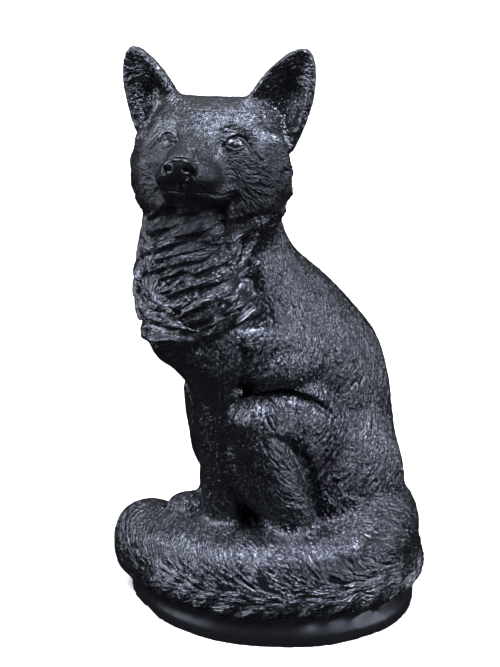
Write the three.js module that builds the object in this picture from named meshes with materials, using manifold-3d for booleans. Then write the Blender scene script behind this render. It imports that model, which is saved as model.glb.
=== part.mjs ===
// A sitting fox statue, cast in one piece with its thin oval base.
// Millimetres, +Z up. The fox faces -Y, its left side is +X, and the origin is on the ground
// near the middle of the base. The forms are signed distances, negative inside, that are
// blended into one another, meshed once and thinned to a few thousand triangles.
import * as THREE from "three";
import { mergeVertices } from "three/addons/utils/BufferGeometryUtils.js";
import Module from "manifold-3d";

// Base
const BASE_CENTRE = [0, 8];
// Radius in twelve directions, from the fox's left counter-clockwise seen from above
const BASE_RADII = [121, 125, 124, 126, 124, 119, 113, 116, 130, 120, 117, 116];
const BASE_HEIGHT = 18;
const BASE_EDGE_RADIUS = 9;

// Trunk: height, middle front to back, half depth, half width
const TRUNK = [
  [0, 54, 60, 56],
  [90, 54, 64, 60],
  [134, 54, 66, 61],
  [168, 47, 70, 60],
  [200, 37, 75, 58],
  [232, 20, 81, 56],
  [262, -5, 82, 53],
  [290, -25, 74, 49],
  [315, -38, 58, 46],
  [345, -44, 50, 44],
  [390, -44, 42, 42],
];

// Tail: centre line with half width and half height, from the rump round the left side to the tip
const TAIL = [
  [-10, 92, 78, 30, 34],
  [38, 90, 68, 37, 38],
  [70, 64, 58, 38, 38],
  [81, 27, 52, 38, 36],
  [74, -18, 50, 37, 36],
  [58, -46, 49, 37, 36],
  [28, -68, 49, 37, 36],
  [-4, -81, 49, 37, 35],
  [-54, -90, 46, 34, 34],
];
const TAIL_UPPER_POWER = 2.2;
const TAIL_LOWER_POWER = 4;

// Head: between the eyes, with its turn from straight ahead and its upward tilt in degrees
const EYES_MIDDLE = [20, -68, 408];
const HEAD_TURN = 45;
const HEAD_TILT = 11;
const EYE_SPREAD = 29;
const EYE_RADIUS = 8.5;
const EAR_HEIGHT = 63;
const EAR_HALF_WIDTH = 26;
const EAR_CUP_DEPTH = 13;

// Fur locks, with their thickness from root to tip as a share of their half width
const LOCK_THICKNESS = [0.35, 0.85, 1, 0.75, 0.2];
const RUFF_AXIS = [0, -58];
const RUFF_ROWS = 4;
const RUFF_TOP = 347;
const RUFF_BOTTOM = 274;
const RUFF_RISE = 0.3;
// How far round the neck the ruff runs each way, in degrees from the way the face looks
const RUFF_RIGHT = -112;
const RUFF_LEFT = 62;
const RUFF_STEP = 23;
// The way round the neck where the locks of both sides meet
const RUFF_MEETING = -30;
const RUFF_SWEEP = 34;
const RUFF_LOCK_DROP = 34;
// Share of the sweep, share of the drop, and lift off the skin, from root to tip
const RUFF_ROUTE = [[0, 0, -4], [0.15, 0.3, 1], [0.6, 0.62, 3.5], [1, 1, 5.5]];
const RUFF_LOCK_WIDTH = 19;
// The tail's lower locks: towards the tip, out from the tail's side, and height
const FRINGE_ROUTE = [[-16, -6, 60], [-2, -1, 44], [12, -1, 30], [26, -2, 20]];
const FRINGE_LOCK_WIDTH = 13;
const FRINGE_EVERY = 2;
// How far out and how high each cheek tuft ends
const CHEEK_TUFTS = [[64, 0], [68, -16], [68, -32], [62, -46], [52, -58]];

// Grooves as seen from the side: front to back, up and depth at each point, and the width
const SIDE_GROOVES = [
  [[[-39, 228, 1], [-20, 238, 2], [-1, 245, 0]], 6],
  [[[-44, 246, 0], [-42, 228, 4], [-40, 208, 6]], 6],
  [[[-50, 206, 5], [-38, 211, 4], [-22, 211, 4], [-3, 205, 4], [18, 190, 2], [34, 168, 0]], 4],
  [[[-18, 170, 0], [-14, 160, 4], [-3, 146, 5], [7, 120, 5], [12, 88, 5]], 5],
];
// Grooves as seen from the front of the face: out, up and depth at each point, and the width
const FACE_GROOVES = [
  [[[18, -4, 2], [23, 5, 2], [29, 9, 2.5], [36, 6, 2.5], [42, -1, 2.5], [49, -12, 0.5]], 2.6],
  [[[18, -4, 2], [22, -8, 1.5], [29, -9, 1], [36, -6, 0.5]], 2.4],
  [[[18, -4, 2], [15, -14, 0.5]], 2.6],
  [[[0, -40, 1.5], [12, -39, 2], [26, -42, 1.5], [38, -49, 0]], 2.6],
];

// Mesh
const CELL = 3.4;
const SKIP_CELLS = 4;
const TRIANGLES = 9600;
const LOWEST = -6;

const radians = THREE.MathUtils.degToRad;
const clamp = THREE.MathUtils.clamp;

// Blends of two distances, k is the width of the fillet
function join(a, b, k) {
  const h = Math.max(k - Math.abs(a - b), 0) / k;
  return Math.min(a, b) - (h * h * k) / 4;
}

function overlap(a, b, k) {
  return -join(-a, -b, k);
}

// Rows of numbers interpolated smoothly by their first column
function profile(rows, at) {
  let i = 1;
  while (i < rows.length - 1 && rows[i][0] < at) i += 1;
  const [low, high] = [rows[i - 1], rows[i]];
  const before = rows[Math.max(i - 2, 0)];
  const after = rows[Math.min(i + 1, rows.length - 1)];
  const span = high[0] - low[0];
  const t = clamp((at - low[0]) / span, 0, 1);
  const values = [];
  for (let c = 1; c < low.length; c += 1) {
    const slopeLow = ((high[c] - before[c]) / (high[0] - before[0])) * span;
    const slopeHigh = ((after[c] - low[c]) / (after[0] - low[0])) * span;
    const rise = high[c] - low[c];
    values.push(low[c] + t * (slopeLow + t * (3 * rise - 2 * slopeLow - slopeHigh
      + t * (slopeLow + slopeHigh - 2 * rise))));
  }
  return values;
}

// A frame is an origin and three unit axes; the world is the plain one
function frameOf(origin, axes) {
  return {
    origin,
    axes,
    place: (p) => origin.map((o, i) => o + axes[0][i] * p[0] + axes[1][i] * p[1] + axes[2][i] * p[2]),
  };
}

function local(frame, x, y, z) {
  const dx = x - frame.origin[0];
  const dy = y - frame.origin[1];
  const dz = z - frame.origin[2];
  return frame.axes.map((a) => a[0] * dx + a[1] * dy + a[2] * dz);
}

const WORLD = frameOf([0, 0, 0], [[1, 0, 0], [0, 1, 0], [0, 0, 1]]);

// Head frame: forward, to its left, up
function headFrame() {
  const turn = radians(HEAD_TURN);
  const tilt = radians(HEAD_TILT);
  const level = [Math.sin(turn), -Math.cos(turn)];
  const forward = [level[0] * Math.cos(tilt), level[1] * Math.cos(tilt), Math.sin(tilt)];
  const left = [-level[1], level[0], 0];
  const up = [-level[0] * Math.sin(tilt), -level[1] * Math.sin(tilt), Math.cos(tilt)];
  return frameOf(EYES_MIDDLE, [forward, left, up]);
}

const HEAD = headFrame();

// A form has a distance, the ball that holds it, and the blend it joins with
function ellipsoid(centre, radii, blend, frame = WORLD) {
  const middle = frame.place(centre);
  return {
    middle,
    reach: Math.max(...radii),
    blend,
    at: (x, y, z) => {
      const [a, b, c] = frame === WORLD ? [x, y, z] : local(frame, x, y, z);
      const px = (a - centre[0]) / radii[0];
      const py = (b - centre[1]) / radii[1];
      const pz = (c - centre[2]) / radii[2];
      const k0 = Math.hypot(px, py, pz);
      const k1 = Math.hypot(px / radii[0], py / radii[1], pz / radii[2]);
      return k1 === 0 ? -Math.min(...radii) : (k0 * (k0 - 1)) / k1;
    },
  };
}

// A chain of round rods through points, each with its radius last
function limb(points, blend, frame = WORLD) {
  const nodes = points.map((p) => [...frame.place(p), p[3]]);
  const box = new THREE.Box3().setFromPoints(nodes.map((n) => new THREE.Vector3(n[0], n[1], n[2])));
  const ball = box.getBoundingSphere(new THREE.Sphere());
  return {
    middle: ball.center.toArray(),
    reach: ball.radius + Math.max(...nodes.map((n) => n[3])),
    blend,
    at: (x, y, z) => {
      let nearest = Infinity;
      for (let i = 1; i < nodes.length; i += 1) {
        nearest = Math.min(nearest, rodDistance(nodes[i - 1], nodes[i], x, y, z));
      }
      return nearest;
    },
  };
}

function rodDistance(a, b, x, y, z) {
  const bx = b[0] - a[0];
  const by = b[1] - a[1];
  const bz = b[2] - a[2];
  const along = (x - a[0]) * bx + (y - a[1]) * by + (z - a[2]) * bz;
  const t = clamp(along / (bx * bx + by * by + bz * bz), 0, 1);
  const gap = Math.hypot(x - a[0] - t * bx, y - a[1] - t * by, z - a[2] - t * bz);
  return gap - a[3] - t * (b[3] - a[3]);
}

// Both sides of the body
function bothSides(make) {
  return [1, -1].map(make).flat();
}

function baseRadius(direction) {
  const count = BASE_RADII.length;
  const place = ((direction / (2 * Math.PI)) * count + count) % count;
  const i = Math.floor(place);
  const t = (1 - Math.cos((place - i) * Math.PI)) / 2;
  return BASE_RADII[i % count] * (1 - t) + BASE_RADII[(i + 1) % count] * t;
}

function baseDistance(x, y, z) {
  const dx = x - BASE_CENTRE[0];
  const dy = y - BASE_CENTRE[1];
  const outline = Math.hypot(dx, dy) - baseRadius(Math.atan2(dy, dx));
  const side = outline + BASE_EDGE_RADIUS;
  const top = z - BASE_HEIGHT + BASE_EDGE_RADIUS;
  const corner = Math.hypot(Math.max(side, 0), Math.max(top, 0));
  return Math.min(Math.max(side, top), 0) + corner - BASE_EDGE_RADIUS;
}

function trunkDistance(x, y, z) {
  const [middle, depth, width] = profile(TRUNK, z);
  const ring = Math.hypot(x / width, (y - middle) / depth);
  const wall = (ring - 1) * Math.min(width, depth) * 0.86;
  return Math.max(wall, z - 380);
}

function tailLine() {
  const centres = new THREE.CatmullRomCurve3(TAIL.map((p) => new THREE.Vector3(p[0], p[1], p[2])));
  const sizes = new THREE.CatmullRomCurve3(TAIL.map((p) => new THREE.Vector3(p[3], p[4], 0)));
  const count = 36;
  return centres.getPoints(count).map((c, i) => {
    const s = sizes.getPoint(i / count);
    return [c.x, c.y, c.z, s.x, s.y];
  });
}

const TAIL_LINE = tailLine();

function tailDistance(x, y, z) {
  if (z > 150) return z - 120;
  let best = Infinity;
  for (let i = 1; i < TAIL_LINE.length; i += 1) {
    const a = TAIL_LINE[i - 1];
    const b = TAIL_LINE[i];
    const bx = b[0] - a[0];
    const by = b[1] - a[1];
    const t = clamp(((x - a[0]) * bx + (y - a[1]) * by) / (bx * bx + by * by), 0, 1);
    const flat = Math.hypot(x - a[0] - t * bx, y - a[1] - t * by);
    const rise = z - a[2] - t * (b[2] - a[2]);
    const width = a[3] + t * (b[3] - a[3]);
    const height = a[4] + t * (b[4] - a[4]);
    const power = rise < 0 ? TAIL_LOWER_POWER : TAIL_UPPER_POWER;
    const ring = ((flat / width) ** power + (Math.abs(rise) / height) ** power) ** (1 / power);
    best = Math.min(best, (ring - 1) * Math.min(width, height));
  }
  return best;
}

function bodyForms() {
  return [
    ...bothSides((s) => [
      ellipsoid([s * 28, -58, 244], [22, 32, 44], 16),
      ellipsoid([s * 33, -12, 232], [28, 44, 36], 12),
      ellipsoid([s * 41, 50, 100], [37, 62, 74], 14),
      ellipsoid([s * 46, 2, 146], [30, 56, 66], 3),
      limb([[s * 52, -32, 178, 24], [s * 58, -31, 160, 21], [s * 61, -22, 138, 20], [s * 63, -10, 105, 20],
        [s * 63, -2, 60, 20]], 8),
      ellipsoid([s * 62, -20, 34], [20, 36, 18], 6),
      ellipsoid([s * 46, 14, 84], [26, 40, 62], 12),
    ]),
    ellipsoid([0, -64, 288], [46, 41, 56], 10),
    ellipsoid([-3, -73, 249], [34, 35, 34], 14),
  ];
}

function forelegForms() {
  return [
    limb([[22, -57, 232, 24], [20, -54, 195, 20], [20, -52, 120, 18.5], [20, -50, 40, 19]], 8),
    limb([[-21, -53, 232, 24], [-20, -45, 195, 20], [-20, -37, 120, 18], [-20, -36, 40, 19]], 8),
    ellipsoid([20, -62, 34], [20, 30, 20], 6),
    ellipsoid([-20, -64, 82], [18, 22, 14], 6),
    limb([[-20, -40, 70, 20], [20, -44, 60, 22]], 10),
    limb([[0, 0, 60, 40], [0, -20, 120, 26]], 16),
  ];
}

function headForms() {
  return [
    ellipsoid([-32, 0, 0], [46, 50, 39], 10, HEAD),
    ellipsoid([-17, 0, -20], [33, 52, 36], 12, HEAD),
    ellipsoid([0, 0, -48], [33, 34, 24], 12, HEAD),
    limb([[-4, 0, -10, 21], [20, 0, -17, 18], [38, 0, -24, 14]], 14, HEAD),
    limb([[-14, 0, -46, 26], [12, 0, -46, 19], [28, 0, -41, 11]], 10, HEAD),
    ellipsoid([46, 0, -25], [8, 11.5, 9.5], 2, HEAD),
    limb([[-30, 0, -20, 38], [-40, 0, -60, 42]], 16, HEAD),
    ...bothSides((s) => [
      ellipsoid([-28, s * 30, 12], [26, 26, 26], 12, HEAD),
      ellipsoid([-17, s * 37, -25], [27, 29, 37], 12, HEAD),
      ellipsoid([-22, s * 30, -52], [26, 27, 26], 12, HEAD),
      ellipsoid([-11, s * 26, 8], [16, 18, 9], 10, HEAD),
      ellipsoid([-2.5, s * EYE_SPREAD, 0], [EYE_RADIUS, EYE_RADIUS, EYE_RADIUS], 1, HEAD),
      ellipsoid([24, s * 12, -31], [21, 14, 12], 8, HEAD),
    ]),
  ];
}

// Ears: flat rounded triangles, cupped in front and full behind
function earFrame(side) {
  const base = HEAD.place([-21, side * 50, 20]);
  const tip = HEAD.place([-16, side * 78, 20 + EAR_HEIGHT * 0.9]);
  const up = new THREE.Vector3(...tip).sub(new THREE.Vector3(...base)).normalize();
  const facing = new THREE.Vector3();
  facing.addScaledVector(new THREE.Vector3(...HEAD.axes[0]), 0.86);
  facing.addScaledVector(new THREE.Vector3(...HEAD.axes[1]), side * 0.3);
  facing.addScaledVector(up, -facing.dot(up)).normalize();
  const across = new THREE.Vector3().crossVectors(up, facing);
  return frameOf(base, [across.toArray(), facing.toArray(), up.toArray()]);
}

function ear(side) {
  const frame = earFrame(side);
  return {
    middle: frame.place([0, 0, EAR_HEIGHT / 2]),
    reach: EAR_HEIGHT,
    blend: 5,
    at: (x, y, z) => {
      const [across, facing, up] = local(frame, x, y, z);
      const rise = clamp(up / EAR_HEIGHT, 0, 1);
      const half = EAR_HALF_WIDTH * (1 - rise ** 1.8) ** 0.6 + 0.01;
      const share = clamp(across / half, -1, 1);
      const cup = EAR_CUP_DEPTH * (1 - rise * 0.6) * Math.max(0, 1 - (share / 0.82) ** 2);
      const front = facing - 3 + cup;
      const back = -facing - 6 - 10 * (1 - rise * 0.6) * Math.sqrt(1 - share * share);
      const edge = Math.max((Math.abs(across) - half) * 0.8, (up - EAR_HEIGHT) * 0.8, -up - 18);
      return overlap(overlap(front, back, 4), edge, 4);
    },
  };
}

const FORMS = [...bodyForms(), ...forelegForms(), ...headForms(), ...bothSides(ear)];

function blended(forms, start, x, y, z) {
  let nearest = start;
  for (const form of forms) {
    const gap = Math.hypot(x - form.middle[0], y - form.middle[1], z - form.middle[2]) - form.reach;
    if (gap < nearest + form.blend) nearest = join(nearest, form.at(x, y, z), form.blend);
  }
  return nearest;
}

function smoothFox(x, y, z) {
  return blended(FORMS, trunkDistance(x, y, z), x, y, z);
}

// The skin's distance from a point inside it, in a direction
function skinFrom(point, direction) {
  let near = 0;
  let far = 120;
  for (let step = 0; step < 14; step += 1) {
    const middle = (near + far) / 2;
    if (smoothFox(...point.map((v, i) => v + direction[i] * middle)) < 0) near = middle;
    else far = middle;
  }
  return near;
}

// A lock of fur: a strand that lies on the skin and lifts off it towards its pointed tip
function lock(points, width, blend = 2) {
  const curve = new THREE.CatmullRomCurve3(points.map((p) => new THREE.Vector3(...p)));
  const rods = LOCK_THICKNESS.map((share, i) => {
    const place = curve.getPoint(i / (LOCK_THICKNESS.length - 1));
    return [...place.toArray(), width * share];
  });
  return limb(rods, blend);
}

function ruffPoint(around, height, lift) {
  const turn = radians(HEAD_TURN + around);
  const axis = [RUFF_AXIS[0], RUFF_AXIS[1], height];
  const direction = [Math.sin(turn), -Math.cos(turn), 0];
  const out = skinFrom(axis, direction) + lift;
  return axis.map((v, i) => v + direction[i] * out);
}

// Ruff locks lie in rows like tiles and sweep down to where both sides meet
function ruffLocks() {
  const locks = [];
  for (let row = 0; row < RUFF_ROWS; row += 1) {
    const shift = (row % 2) * RUFF_STEP * 0.5;
    for (let from = RUFF_RIGHT + shift; from <= RUFF_LEFT; from += RUFF_STEP) {
      const bottom = RUFF_BOTTOM + RUFF_RISE * Math.abs(from);
      const height = RUFF_TOP + (bottom - RUFF_TOP) * (row / (RUFF_ROWS - 1));
      const gap = Math.abs(from - RUFF_MEETING);
      const sweep = -Math.sign(from - RUFF_MEETING) * Math.min(RUFF_SWEEP, gap);
      const drop = RUFF_LOCK_DROP * (1 + 0.15 * Math.sin(3 * from + 5 * row));
      const points = RUFF_ROUTE.map(([turn, fall, lift]) => (
        ruffPoint(from + sweep * turn, height - drop * fall, lift)
      ));
      locks.push(lock(points, RUFF_LOCK_WIDTH / 2));
    }
  }
  return locks;
}

// Cheek tufts stand out backwards and down from below the ears
function cheekTufts(side) {
  return CHEEK_TUFTS.map(([out, up], i) => {
    const start = [-8 - 3 * i, side * (out - 20), up + 6];
    const middle = [-14 - 3 * i, side * (out - 7), up + 1];
    const end = [-22 - 3 * i, side * out, up - 9];
    return lock([start, middle, end].map((p) => HEAD.place(p)), 8, 5);
  });
}

// The tail's lower edge ends in a fringe of pointed tips that run towards the tail's end
function tailFringe() {
  const tips = [];
  for (let i = 6; i < TAIL_LINE.length - 5; i += FRINGE_EVERY) {
    const [x, y, , width] = TAIL_LINE[i];
    const [nx, ny] = TAIL_LINE[i + 1];
    const length = Math.hypot(nx - x, ny - y);
    const along = [(nx - x) / length, (ny - y) / length];
    const outward = [-along[1], along[0]];
    const route = FRINGE_ROUTE.map(([forward, out, height]) => [
      x + along[0] * forward + outward[0] * (width + out),
      y + along[1] * forward + outward[1] * (width + out),
      height,
    ]);
    tips.push(lock(route, FRINGE_LOCK_WIDTH / 2, 3));
  }
  return tips;
}

function toes() {
  return [-1, 0, 1].map((i) => ellipsoid([-20 + i * 10, -80 + Math.abs(i) * 3, 84], [5.5, 9, 8], 1.5));
}

const DETAILS = [...ruffLocks(), ...bothSides(cheekTufts), ...toes()];
const FRINGE = tailFringe();

// A groove follows a line seen from the side or from the front of the face
function grooveDepth(line, width, across, up) {
  let deepest = 0;
  for (let i = 1; i < line.length; i += 1) {
    const [a, b] = [line[i - 1], line[i]];
    const ba = b[0] - a[0];
    const bu = b[1] - a[1];
    const t = clamp(((across - a[0]) * ba + (up - a[1]) * bu) / (ba * ba + bu * bu), 0, 1);
    const gap = Math.hypot(across - a[0] - t * ba, up - a[1] - t * bu) / width;
    if (gap < 3) deepest = Math.max(deepest, (a[2] + t * (b[2] - a[2])) * Math.exp(-gap * gap));
  }
  return deepest;
}

function carved(x, y, z) {
  let depth = 0;
  if (Math.abs(x) > 20 && z < 280 && z > 70) {
    for (const [line, width] of SIDE_GROOVES) depth = Math.max(depth, grooveDepth(line, width, y, z));
  }
  if (z > 320) {
    const [forward, left, up] = local(HEAD, x, y, z);
    if (forward > -14) {
      for (const [line, width] of FACE_GROOVES) {
        depth = Math.max(depth, grooveDepth(line, width, Math.abs(left), up));
      }
    }
  }
  return depth;
}

function foxDistance(x, y, z) {
  let nearest = smoothFox(x, y, z) + carved(x, y, z);
  nearest = blended(DETAILS, nearest, x, y, z);
  nearest = join(nearest, tailDistance(x, y, z), 4);
  nearest = join(nearest, baseDistance(x, y, z), 4);
  if (z < 70) nearest = blended(FRINGE, nearest, x, y, z);
  return Math.max(nearest, LOWEST - z);
}

// Sampling: a coarse pass finds the blocks that the surface may cross
function sampleGrid(distance, low, high, cell) {
  const counts = low.map((v, i) => Math.ceil((high[i] - v) / cell / SKIP_CELLS) * SKIP_CELLS + 1);
  const [nx, ny, nz] = counts;
  const values = new Float32Array(nx * ny * nz).fill(NaN);
  const index = (i, j, k) => (k * ny + j) * nx + i;
  const reach = SKIP_CELLS * cell * 2;
  const blocks = [];
  for (let k = 0; k + SKIP_CELLS < nz; k += SKIP_CELLS) {
    for (let j = 0; j + SKIP_CELLS < ny; j += SKIP_CELLS) {
      for (let i = 0; i + SKIP_CELLS < nx; i += SKIP_CELLS) {
        const half = SKIP_CELLS / 2;
        const centre = [i + half, j + half, k + half].map((v, a) => low[a] + v * cell);
        if (Math.abs(distance(...centre)) < reach) blocks.push([i, j, k]);
      }
    }
  }
  for (const [bi, bj, bk] of blocks) {
    for (let k = bk; k <= bk + SKIP_CELLS; k += 1) {
      for (let j = bj; j <= bj + SKIP_CELLS; j += 1) {
        for (let i = bi; i <= bi + SKIP_CELLS; i += 1) {
          const at = index(i, j, k);
          if (Number.isNaN(values[at])) {
            values[at] = distance(low[0] + i * cell, low[1] + j * cell, low[2] + k * cell);
          }
        }
      }
    }
  }
  return { values, index, blocks, low, cell };
}

// Each cube is cut into six tetrahedra round its long diagonal
const TETRAHEDRA = [[1, 3], [3, 2], [2, 6], [6, 4], [4, 5], [5, 1]].map(([a, b]) => [0, a, b, 7]);

function polygonise(grid) {
  const positions = [];
  const triangles = [];
  const edges = new Map();
  const corner = (i, j, k, c) => [i + (c & 1), j + ((c >> 1) & 1), k + ((c >> 2) & 1)];

  function crossing(p, q) {
    const a = grid.index(...p);
    const b = grid.index(...q);
    const key = a < b ? a * 4e7 + b : b * 4e7 + a;
    if (edges.has(key)) return edges.get(key);
    const t = clamp(grid.values[a] / (grid.values[a] - grid.values[b]), 0.02, 0.98);
    for (let axis = 0; axis < 3; axis += 1) {
      positions.push(grid.low[axis] + (p[axis] + t * (q[axis] - p[axis])) * grid.cell);
    }
    edges.set(key, positions.length / 3 - 1);
    return positions.length / 3 - 1;
  }

  function cutTetrahedron(points) {
    const inside = points.filter((p) => grid.values[grid.index(...p)] < 0);
    const outside = points.filter((p) => grid.values[grid.index(...p)] >= 0);
    if (inside.length === 0 || outside.length === 0) return;
    let loop;
    if (inside.length === 1) loop = outside.map((p) => crossing(inside[0], p));
    if (outside.length === 1) loop = inside.map((p) => crossing(p, outside[0]));
    if (inside.length === 2) {
      const [a, b] = inside;
      const [c, d] = outside;
      loop = [crossing(a, c), crossing(a, d), crossing(b, d), crossing(b, c)];
    }
    const away = outside[0].map((v, axis) => v - inside[0][axis]);
    const corners = loop.map((v) => new THREE.Vector3().fromArray(positions, v * 3));
    const normal = new THREE.Vector3().crossVectors(
      corners[1].clone().sub(corners[0]),
      corners[2].clone().sub(corners[0]),
    );
    if (normal.dot(new THREE.Vector3(...away)) < 0) loop.reverse();
    for (let i = 2; i < loop.length; i += 1) triangles.push([loop[0], loop[i - 1], loop[i]]);
  }

  function crossed(i, j, k) {
    let inside = 0;
    for (let c = 0; c < 8; c += 1) {
      if (grid.values[grid.index(...corner(i, j, k, c))] < 0) inside += 1;
    }
    return inside > 0 && inside < 8;
  }

  for (const [bi, bj, bk] of grid.blocks) {
    for (let k = bk; k < bk + SKIP_CELLS; k += 1) {
      for (let j = bj; j < bj + SKIP_CELLS; j += 1) {
        for (let i = bi; i < bi + SKIP_CELLS; i += 1) {
          if (!crossed(i, j, k)) continue;
          for (const four of TETRAHEDRA) cutTetrahedron(four.map((c) => corner(i, j, k, c)));
        }
      }
    }
  }
  return { positions, triangles };
}

// The outer skin alone, without the closed pockets that the forms leave between them
function outerSkin({ positions, triangles }) {
  const parent = Array.from({ length: positions.length / 3 }, (_, v) => v);
  const root = (v) => {
    let at = v;
    while (parent[at] !== at) {
      parent[at] = parent[parent[at]];
      at = parent[at];
    }
    return at;
  };
  for (const [a, b, c] of triangles) {
    parent[root(a)] = root(b);
    parent[root(b)] = root(c);
  }
  const sizes = new Map();
  for (const [a] of triangles) sizes.set(root(a), (sizes.get(root(a)) ?? 0) + 1);
  const largest = Math.max(...sizes.values());
  return { positions, triangles: triangles.filter(([a]) => sizes.get(root(a)) === largest) };
}

// The squared distance to a set of planes, as ten sums: xx xy xz x yy yz y zz z 1
function addPlane(sums, at, normal, offset, weight) {
  const plane = [normal.x, normal.y, normal.z, offset];
  let slot = at * 10;
  for (let a = 0; a < 4; a += 1) {
    for (let b = a; b < 4; b += 1) {
      sums[slot] += weight * plane[a] * plane[b];
      slot += 1;
    }
  }
}

function planeError(q, x, y, z) {
  return q[0] * x * x + q[4] * y * y + q[7] * z * z + q[9]
    + 2 * (q[1] * x * y + q[2] * x * z + q[5] * y * z + q[3] * x + q[6] * y + q[8] * z);
}

// The place with the least error for two ends that become one
function bestPlace(q, a, b) {
  const matrix = new THREE.Matrix3().set(q[0], q[1], q[2], q[1], q[4], q[5], q[2], q[5], q[7]);
  const middle = a.clone().add(b).multiplyScalar(0.5);
  const choices = [middle, a, b];
  if (Math.abs(matrix.determinant()) > 1e-4) {
    const solved = new THREE.Vector3(-q[3], -q[6], -q[8]).applyMatrix3(matrix.invert());
    if (solved.distanceTo(middle) < 2 * a.distanceTo(b)) choices.unshift(solved);
  }
  const errors = choices.map((c) => planeError(q, c.x, c.y, c.z));
  const least = errors.indexOf(Math.min(...errors));
  return { place: choices[least], error: Math.max(errors[least], 0) + 1e-6 * a.distanceTo(b) };
}

// A heap that gives the cheapest entry first
class Queue {
  entries = [];

  push(entry) {
    const list = this.entries;
    let i = list.push(entry) - 1;
    while (i > 0) {
      const parent = (i - 1) >> 1;
      if (list[parent].error <= entry.error) break;
      list[i] = list[parent];
      i = parent;
    }
    list[i] = entry;
  }

  pop() {
    const list = this.entries;
    const first = list[0];
    const last = list.pop();
    if (list.length === 0) return first;
    let i = 0;
    for (;;) {
      let child = 2 * i + 1;
      if (child >= list.length) break;
      if (child + 1 < list.length && list[child + 1].error < list[child].error) child += 1;
      if (list[child].error >= last.error) break;
      list[i] = list[child];
      i = child;
    }
    list[i] = last;
    return first;
  }
}

// Edges are folded away, cheapest first, until the wanted number of triangles is left
function thin({ positions, triangles }, wanted) {
  const count = positions.length / 3;
  const points = Array.from({ length: count }, (_, i) => new THREE.Vector3().fromArray(positions, i * 3));
  const sums = new Float64Array(count * 10);
  const around = points.map(() => new Set());
  const version = new Int32Array(count);
  const queue = new Queue();
  let left = triangles.length;

  const faceNormal = (a, b, c) => new THREE.Vector3().crossVectors(b.clone().sub(a), c.clone().sub(a));
  triangles.forEach((face, f) => {
    const normal = faceNormal(...face.map((v) => points[v]));
    const area = normal.length();
    if (area > 0) normal.divideScalar(area);
    for (const v of face) {
      addPlane(sums, v, normal, -normal.dot(points[face[0]]), area);
      around[v].add(f);
    }
  });

  const neighbours = (v) => {
    const found = new Set();
    for (const f of around[v]) triangles[f].forEach((w) => found.add(w));
    found.delete(v);
    return found;
  };

  const offer = (a, b) => {
    const q = Array.from({ length: 10 }, (_, i) => sums[a * 10 + i] + sums[b * 10 + i]);
    queue.push({ a, b, stamp: version[a] + version[b], ...bestPlace(q, points[a], points[b]) });
  };

  const turnsOver = (v, other, place) => [...around[v]].some((f) => {
    const face = triangles[f];
    if (face.includes(other)) return false;
    const before = faceNormal(...face.map((w) => points[w]));
    const after = faceNormal(...face.map((w) => (w === v ? place : points[w])));
    return before.dot(after) < 0.3 * before.length() * after.length() || after.length() < 1e-3;
  });

  triangles.forEach((face) => face.forEach((v, i) => {
    const next = face[(i + 1) % 3];
    if (v < next) offer(v, next);
  }));

  while (left > wanted && queue.entries.length > 0) {
    const { a, b, stamp, place } = queue.pop();
    if (version[a] < 0 || version[b] < 0 || stamp !== version[a] + version[b]) continue;
    const nearA = neighbours(a);
    const shared = [...neighbours(b)].filter((v) => nearA.has(v));
    if (shared.length !== 2 || turnsOver(a, b, place) || turnsOver(b, a, place)) continue;
    points[a].copy(place);
    for (let i = 0; i < 10; i += 1) sums[a * 10 + i] += sums[b * 10 + i];
    for (const f of around[b]) {
      const face = triangles[f];
      if (face.includes(a)) {
        for (const v of face) around[v].delete(f);
        triangles[f] = null;
        left -= 1;
      } else {
        face[face.indexOf(b)] = a;
        around[a].add(f);
      }
    }
    version[b] = -1;
    version[a] += 1;
    for (const v of neighbours(a)) offer(a, v);
  }
  return { points, triangles: triangles.filter(Boolean) };
}

function geometryOf({ points, triangles }) {
  const number = new Map();
  const coordinates = [];
  const index = triangles.flat().map((v) => {
    if (!number.has(v)) {
      number.set(v, number.size);
      coordinates.push(...points[v].toArray());
    }
    return number.get(v);
  });
  const geometry = new THREE.BufferGeometry();
  geometry.setAttribute("position", new THREE.Float32BufferAttribute(coordinates, 3));
  geometry.setIndex(index);
  return geometry;
}

// The cast stands on one flat cut at ground level
async function cutFlatBelow(geometry) {
  const wasm = await Module();
  wasm.setup();
  const solid = (g) => new wasm.Manifold(new wasm.Mesh({
    numProp: 3,
    vertProperties: Float32Array.from(g.attributes.position.array),
    triVerts: Uint32Array.from(g.index.array),
  }));
  const size = 4 * Math.max(...BASE_RADII);
  const block = new THREE.BoxGeometry(size, size, size).translate(0, 0, -size / 2);
  block.deleteAttribute("normal");
  block.deleteAttribute("uv");
  const cast = solid(geometry).subtract(solid(mergeVertices(block))).getMesh();
  const result = new THREE.BufferGeometry();
  const places = cast.vertProperties;
  result.setAttribute("position", new THREE.BufferAttribute(Float32Array.from(places), 3));
  result.setIndex(Array.from(cast.triVerts));
  result.computeVertexNormals();
  return result;
}

const grid = sampleGrid(foxDistance, [-130, -150, LOWEST - 2 * CELL], [140, 160, 492], CELL);
const surface = thin(outerSkin(polygonise(grid)), TRIANGLES);

const blackPaint = new THREE.MeshStandardMaterial({ color: 0x16171a, roughness: 0.42, metalness: 0 });
const fox = new THREE.Mesh(await cutFlatBelow(geometryOf(surface)), blackPaint);
fox.name = "fox_statue";

const statue = new THREE.Group();
statue.add(fox);
export default statue;
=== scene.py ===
"""Looks of a sitting fox statue: one casting under black glossy paint, on a pale studio floor.

The cast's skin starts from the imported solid, is smoothed, and is then carved at its points: the face, the
ruff's big locks, and tufts of combed fur everywhere. The carved skin is parted at neck, shoulder and hip
into a few closed pieces that meet edge to edge.
"""
import math

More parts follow.
